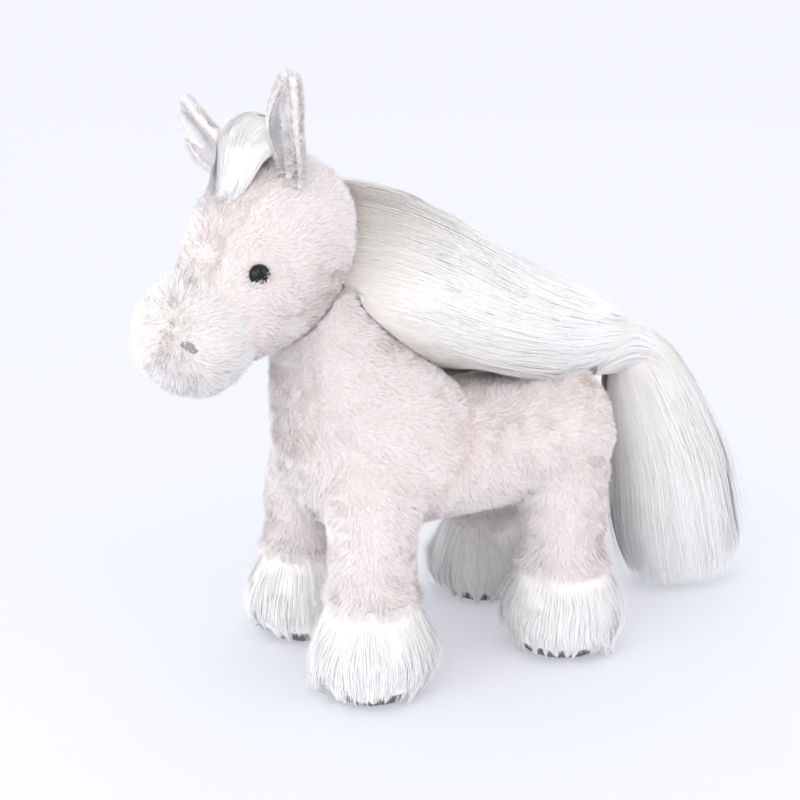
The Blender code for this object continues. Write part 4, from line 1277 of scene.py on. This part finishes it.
def dress_nostrils(head_tree):
    """Satin stitches side by side over an oval, each a round thread that arches over it."""
    rng = np.random.default_rng(909)
    turn = np.linspace(0, math.tau, STITCH_SIDES, endpoint=False)
    ring = np.stack((np.cos(turn), np.zeros(STITCH_SIDES), np.sin(turn)), -1) * STITCH_RADIUS
    t = np.linspace(-1, 1, STITCH_STEPS)
    for side_name in SIDES:
        middle, axes = nostril_axes(side_name, head_tree)
        points, faces = [], []
        for k in range(NOSTRIL_STITCHES):
            place = (k + 0.5) / NOSTRIL_STITCHES * 2 - 1
            half = NOSTRIL_WIDTH / 2 * math.sqrt(1 - place**2) * (0.9 + 0.2 * rng.random())
            rise = NOSTRIL_RISE * np.sqrt(np.clip(1 - t**2, 0, 1)) * math.sqrt(1 - place**2)
            course = np.full(STITCH_STEPS, place * NOSTRIL_LENGTH / 2) + STITCH_SLANT * t
            path = np.stack((course, t * half, rise), -1)
            points.append((path[:, None] + ring[None]).reshape(-1, 3) @ axes + middle)
            start = k * STITCH_SIDES * STITCH_STEPS
            for face in ring_faces(STITCH_SIDES, STITCH_STEPS):
                faces.append([start + corner for corner in face])
        made = add_mesh(side_name + "_nostril_stitches", np.concatenate(points), faces, "nostril_thread")
        carry(made, stands_for=side_name + "_nostril")


def dress_eyes():
    """The moulded eyes keep their own solids."""
    for side_name in SIDES:
        materials = nodes[side_name + "_eye"].data.materials
        materials.clear()
        materials.append(MATERIALS["eye"])


def dress_eye_fringe(side_name, head_tree, rng):
    """Tips of the plush that lie over the lower and rear edge of an eye."""
    count = EYE_FRINGE_STRANDS
    low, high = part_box(side_name + "_eye")
    middle, radius = (low + high) / 2, (high.z - low.z) / 2
    normal = np.array(head_tree.find_nearest(middle)[1])
    forward = unit(np.array((0.0, -1.0, 0.0)) + normal * normal[1])
    up = unit(np.array((0.0, 0.0, 1.0)) - normal * normal[2])
    angle = EYE_FRINGE_MIDDLE + EYE_FRINGE_SPREAD * rng.normal(size=count)
    ring = forward * np.cos(angle)[:, None] + up * np.sin(angle)[:, None]
    far = radius * (1.05 + 0.18 * rng.random(count))
    roots = np.array([head_tree.find_nearest(middle + Vector(p))[0] for p in ring * far[:, None]])
    roots += normal * EYE_FRINGE_LIFT
    course = unit(normal * EYE_FRINGE_RISE - ring + 0.25 * rng.normal(size=(count, 3)))
    tips = roots + course * (EYE_FRINGE_LENGTH * (0.7 + 0.5 * rng.random(count)))[:, None]
    looks, widths = np.tile(normal, (count, 1)), np.full(count, PILE_WIDTH * 0.8)
    name = side_name + "_eye_fringe"
    carry(blades(name, roots, tips, looks, widths, np.ones(count), "muzzle_plush"))


def dress_eye_fringes(head_tree):
    rng = np.random.default_rng(1010)
    for side_name in SIDES:
        dress_eye_fringe(side_name, head_tree, rng)


def dress_stuffing():
    """Each filling as loose wadding: its solid's form, lumpy and a little smaller."""
    for name in nodes:
        if name.endswith("_stuffing"):
            fill = node_skin(name, WADDING_VOXEL, 3, WADDING_INSET)
            made = fill.skin_piece(name, name + "_wadding", "stuffing")
            carry(made, stands_for=name)


def dress_inner_nodes():
    """Every other node of the frame that stays takes its own material."""
    slots = {row["node"]: row["material_slot"] for row in frame["record"]["subparts"]}
    for name in nodes:
        if slots[name] in ("pouch_cloth", "sole_board", "washer", "tape"):
            nodes[name].data.materials.clear()
            nodes[name].data.materials.append(MATERIALS[slots[name]])


def dress_sole(end, side_name, rng):
    """A grey plush sole: a rounded pad with a short nap on its sides."""
    name = f"{end}_{side_name}_sole"
    surface = node_skin(name, SOLE_VOXEL, 2, SOLE_INSET)
    surface.points[:, 2] = np.maximum(surface.points[:, 2], 0.0)
    base = surface.skin_piece(name, name + "_plush", "sole_plush")
    roots, normals = surface.scatter(name, int(SOLE_STRANDS * DENSITY), rng)
    side = np.abs(normals[:, 2]) < 0.8
    roots, normals = roots[side], normals[side]
    down = np.array((0.0, 0.0, -0.6))
    nap = pile(
        name + "_nap", roots, normals, down, "sole_plush", rng, SOLE_PILE_LENGTH, swirl=0.5
    )
    co = np.empty(len(nap.data.vertices) * 3)
    nap.data.vertices.foreach_get("co", co)
    co = co.reshape(-1, 3)
    co[:, 2] = np.maximum(co[:, 2], 0.0)
    nap.data.vertices.foreach_set("co", co.ravel())
    dress(base, nap, name)


def dress_soles():
    rng = np.random.default_rng(808)
    for end in HOOF_PLACES:
        for side_name in SIDES:
            dress_sole(end, side_name, rng)


def seen_directly(tree):
    """The output that is 1 for rays from the camera, a reflection or a clear body."""
    light_path = tree.nodes.new("ShaderNodeLightPath")
    total = light_path.outputs["Is Camera Ray"]
    for kind in ("Is Glossy Ray", "Is Transmission Ray"):
        either = tree.nodes.new("ShaderNodeMath")
        either.operation = "MAXIMUM"
        tree.links.new(total, either.inputs[0])
        tree.links.new(light_path.outputs[kind], either.inputs[1])
        total = either.outputs[0]
    return total


def blend_into(tree, share, first, second, output):
    """Shows the second shader in place of the first by a share."""
    blend = tree.nodes.new("ShaderNodeMixShader")
    for k, source in enumerate((share, first.outputs[0], second.outputs[0])):
        tree.links.new(source, blend.inputs[k])
    tree.links.new(blend.outputs[0], tree.nodes[output].inputs[0])


def build_floor():
    """A wide pale floor, which turns into the backdrop's white further out."""
    floor = bpy.data.meshes.new("floor")
    corners = [(x * FLOOR_REACH, y * FLOOR_REACH, 0) for x, y in ((-1, -1), (1, -1), (1, 1), (-1, 1))]
    floor.from_pydata(corners, [], [(0, 1, 2, 3)])
    values = {"Base Color": FLOOR_GREY, "Roughness": 0.9, "Specular IOR Level": 0.1}
    made, tree, shader = new_material("floor", values)
    glow = add_node(tree, "Emission", {"Color": BACKDROP}, {})
    away = tree.nodes.new("ShaderNodeVectorMath")
    away.operation = "LENGTH"
    tree.links.new(tree.nodes.new("ShaderNodeTexCoord").outputs["Object"], away.inputs[0])
    fade = add_node(tree, "MapRange", FLOOR_FADE, {"Value": away.outputs["Value"]})
    lift = tree.nodes.new("ShaderNodeMath")
    lift.operation = "MULTIPLY"
    tree.links.new(seen_directly(tree), lift.inputs[0])
    tree.links.new(fade.outputs["Result"], lift.inputs[1])
    blend_into(tree, lift.outputs[0], shader, glow, "Material Output")
    floor.materials.append(made)
    linked("floor", floor)


def build_sky():
    """Even soft light from all round, with the backdrop's white where the sky is seen."""
    world = bpy.data.worlds.new("studio")
    world.use_nodes = True
    bpy.context.scene.world = world
    tree = world.node_tree
    sky = tree.nodes["Background"]
    set_inputs(sky, {"Color": SKY, "Strength": SKY_STRENGTH})
    backdrop = add_node(tree, "Background", {"Color": BACKDROP}, {})
    blend_into(tree, seen_directly(tree), sky, backdrop, "World Output")


def build_lamps():
    for name, (place, size, power) in LAMPS.items():
        data = bpy.data.lights.new(name, "AREA")
        data.shape = "DISK"
        data.size = size
        data.energy = power
        lamp = linked(name, data)
        lamp.location = place
        lamp.rotation_euler = (AIM - Vector(place)).to_track_quat("-Z", "Y").to_euler()


def build_camera():
    data = bpy.data.cameras.new("camera")
    data.lens = LENS
    data.sensor_width = SENSOR
    camera = linked("camera", data)
    flat, rise = math.cos(CAMERA_ELEVATION), math.sin(CAMERA_ELEVATION)
    way = Vector((flat * math.sin(CAMERA_AZIMUTH), -flat * math.cos(CAMERA_AZIMUTH), rise))
    camera.location = AIM + way * CAMERA_DISTANCE
    camera.rotation_euler = (-way).to_track_quat("-Z", "Y").to_euler()
    bpy.context.scene.camera = camera
    bpy.context.scene.view_settings.view_transform = "Standard"


body_surface = dress_body()
head_surface = dress_head()
dress_mane((body_surface.tree(), head_surface.tree()))
dress_tail()
dress_dock(body_surface.tree())
dress_forelock(head_surface.tree())
dress_cuffs()
dress_ears()
dress_eyes()
dress_eye_fringes(head_surface.tree())
dress_nostrils(head_surface.tree())
dress_soles()
dress_stuffing()
dress_inner_nodes()
build_floor()
build_sky()
build_lamps()
build_camera()
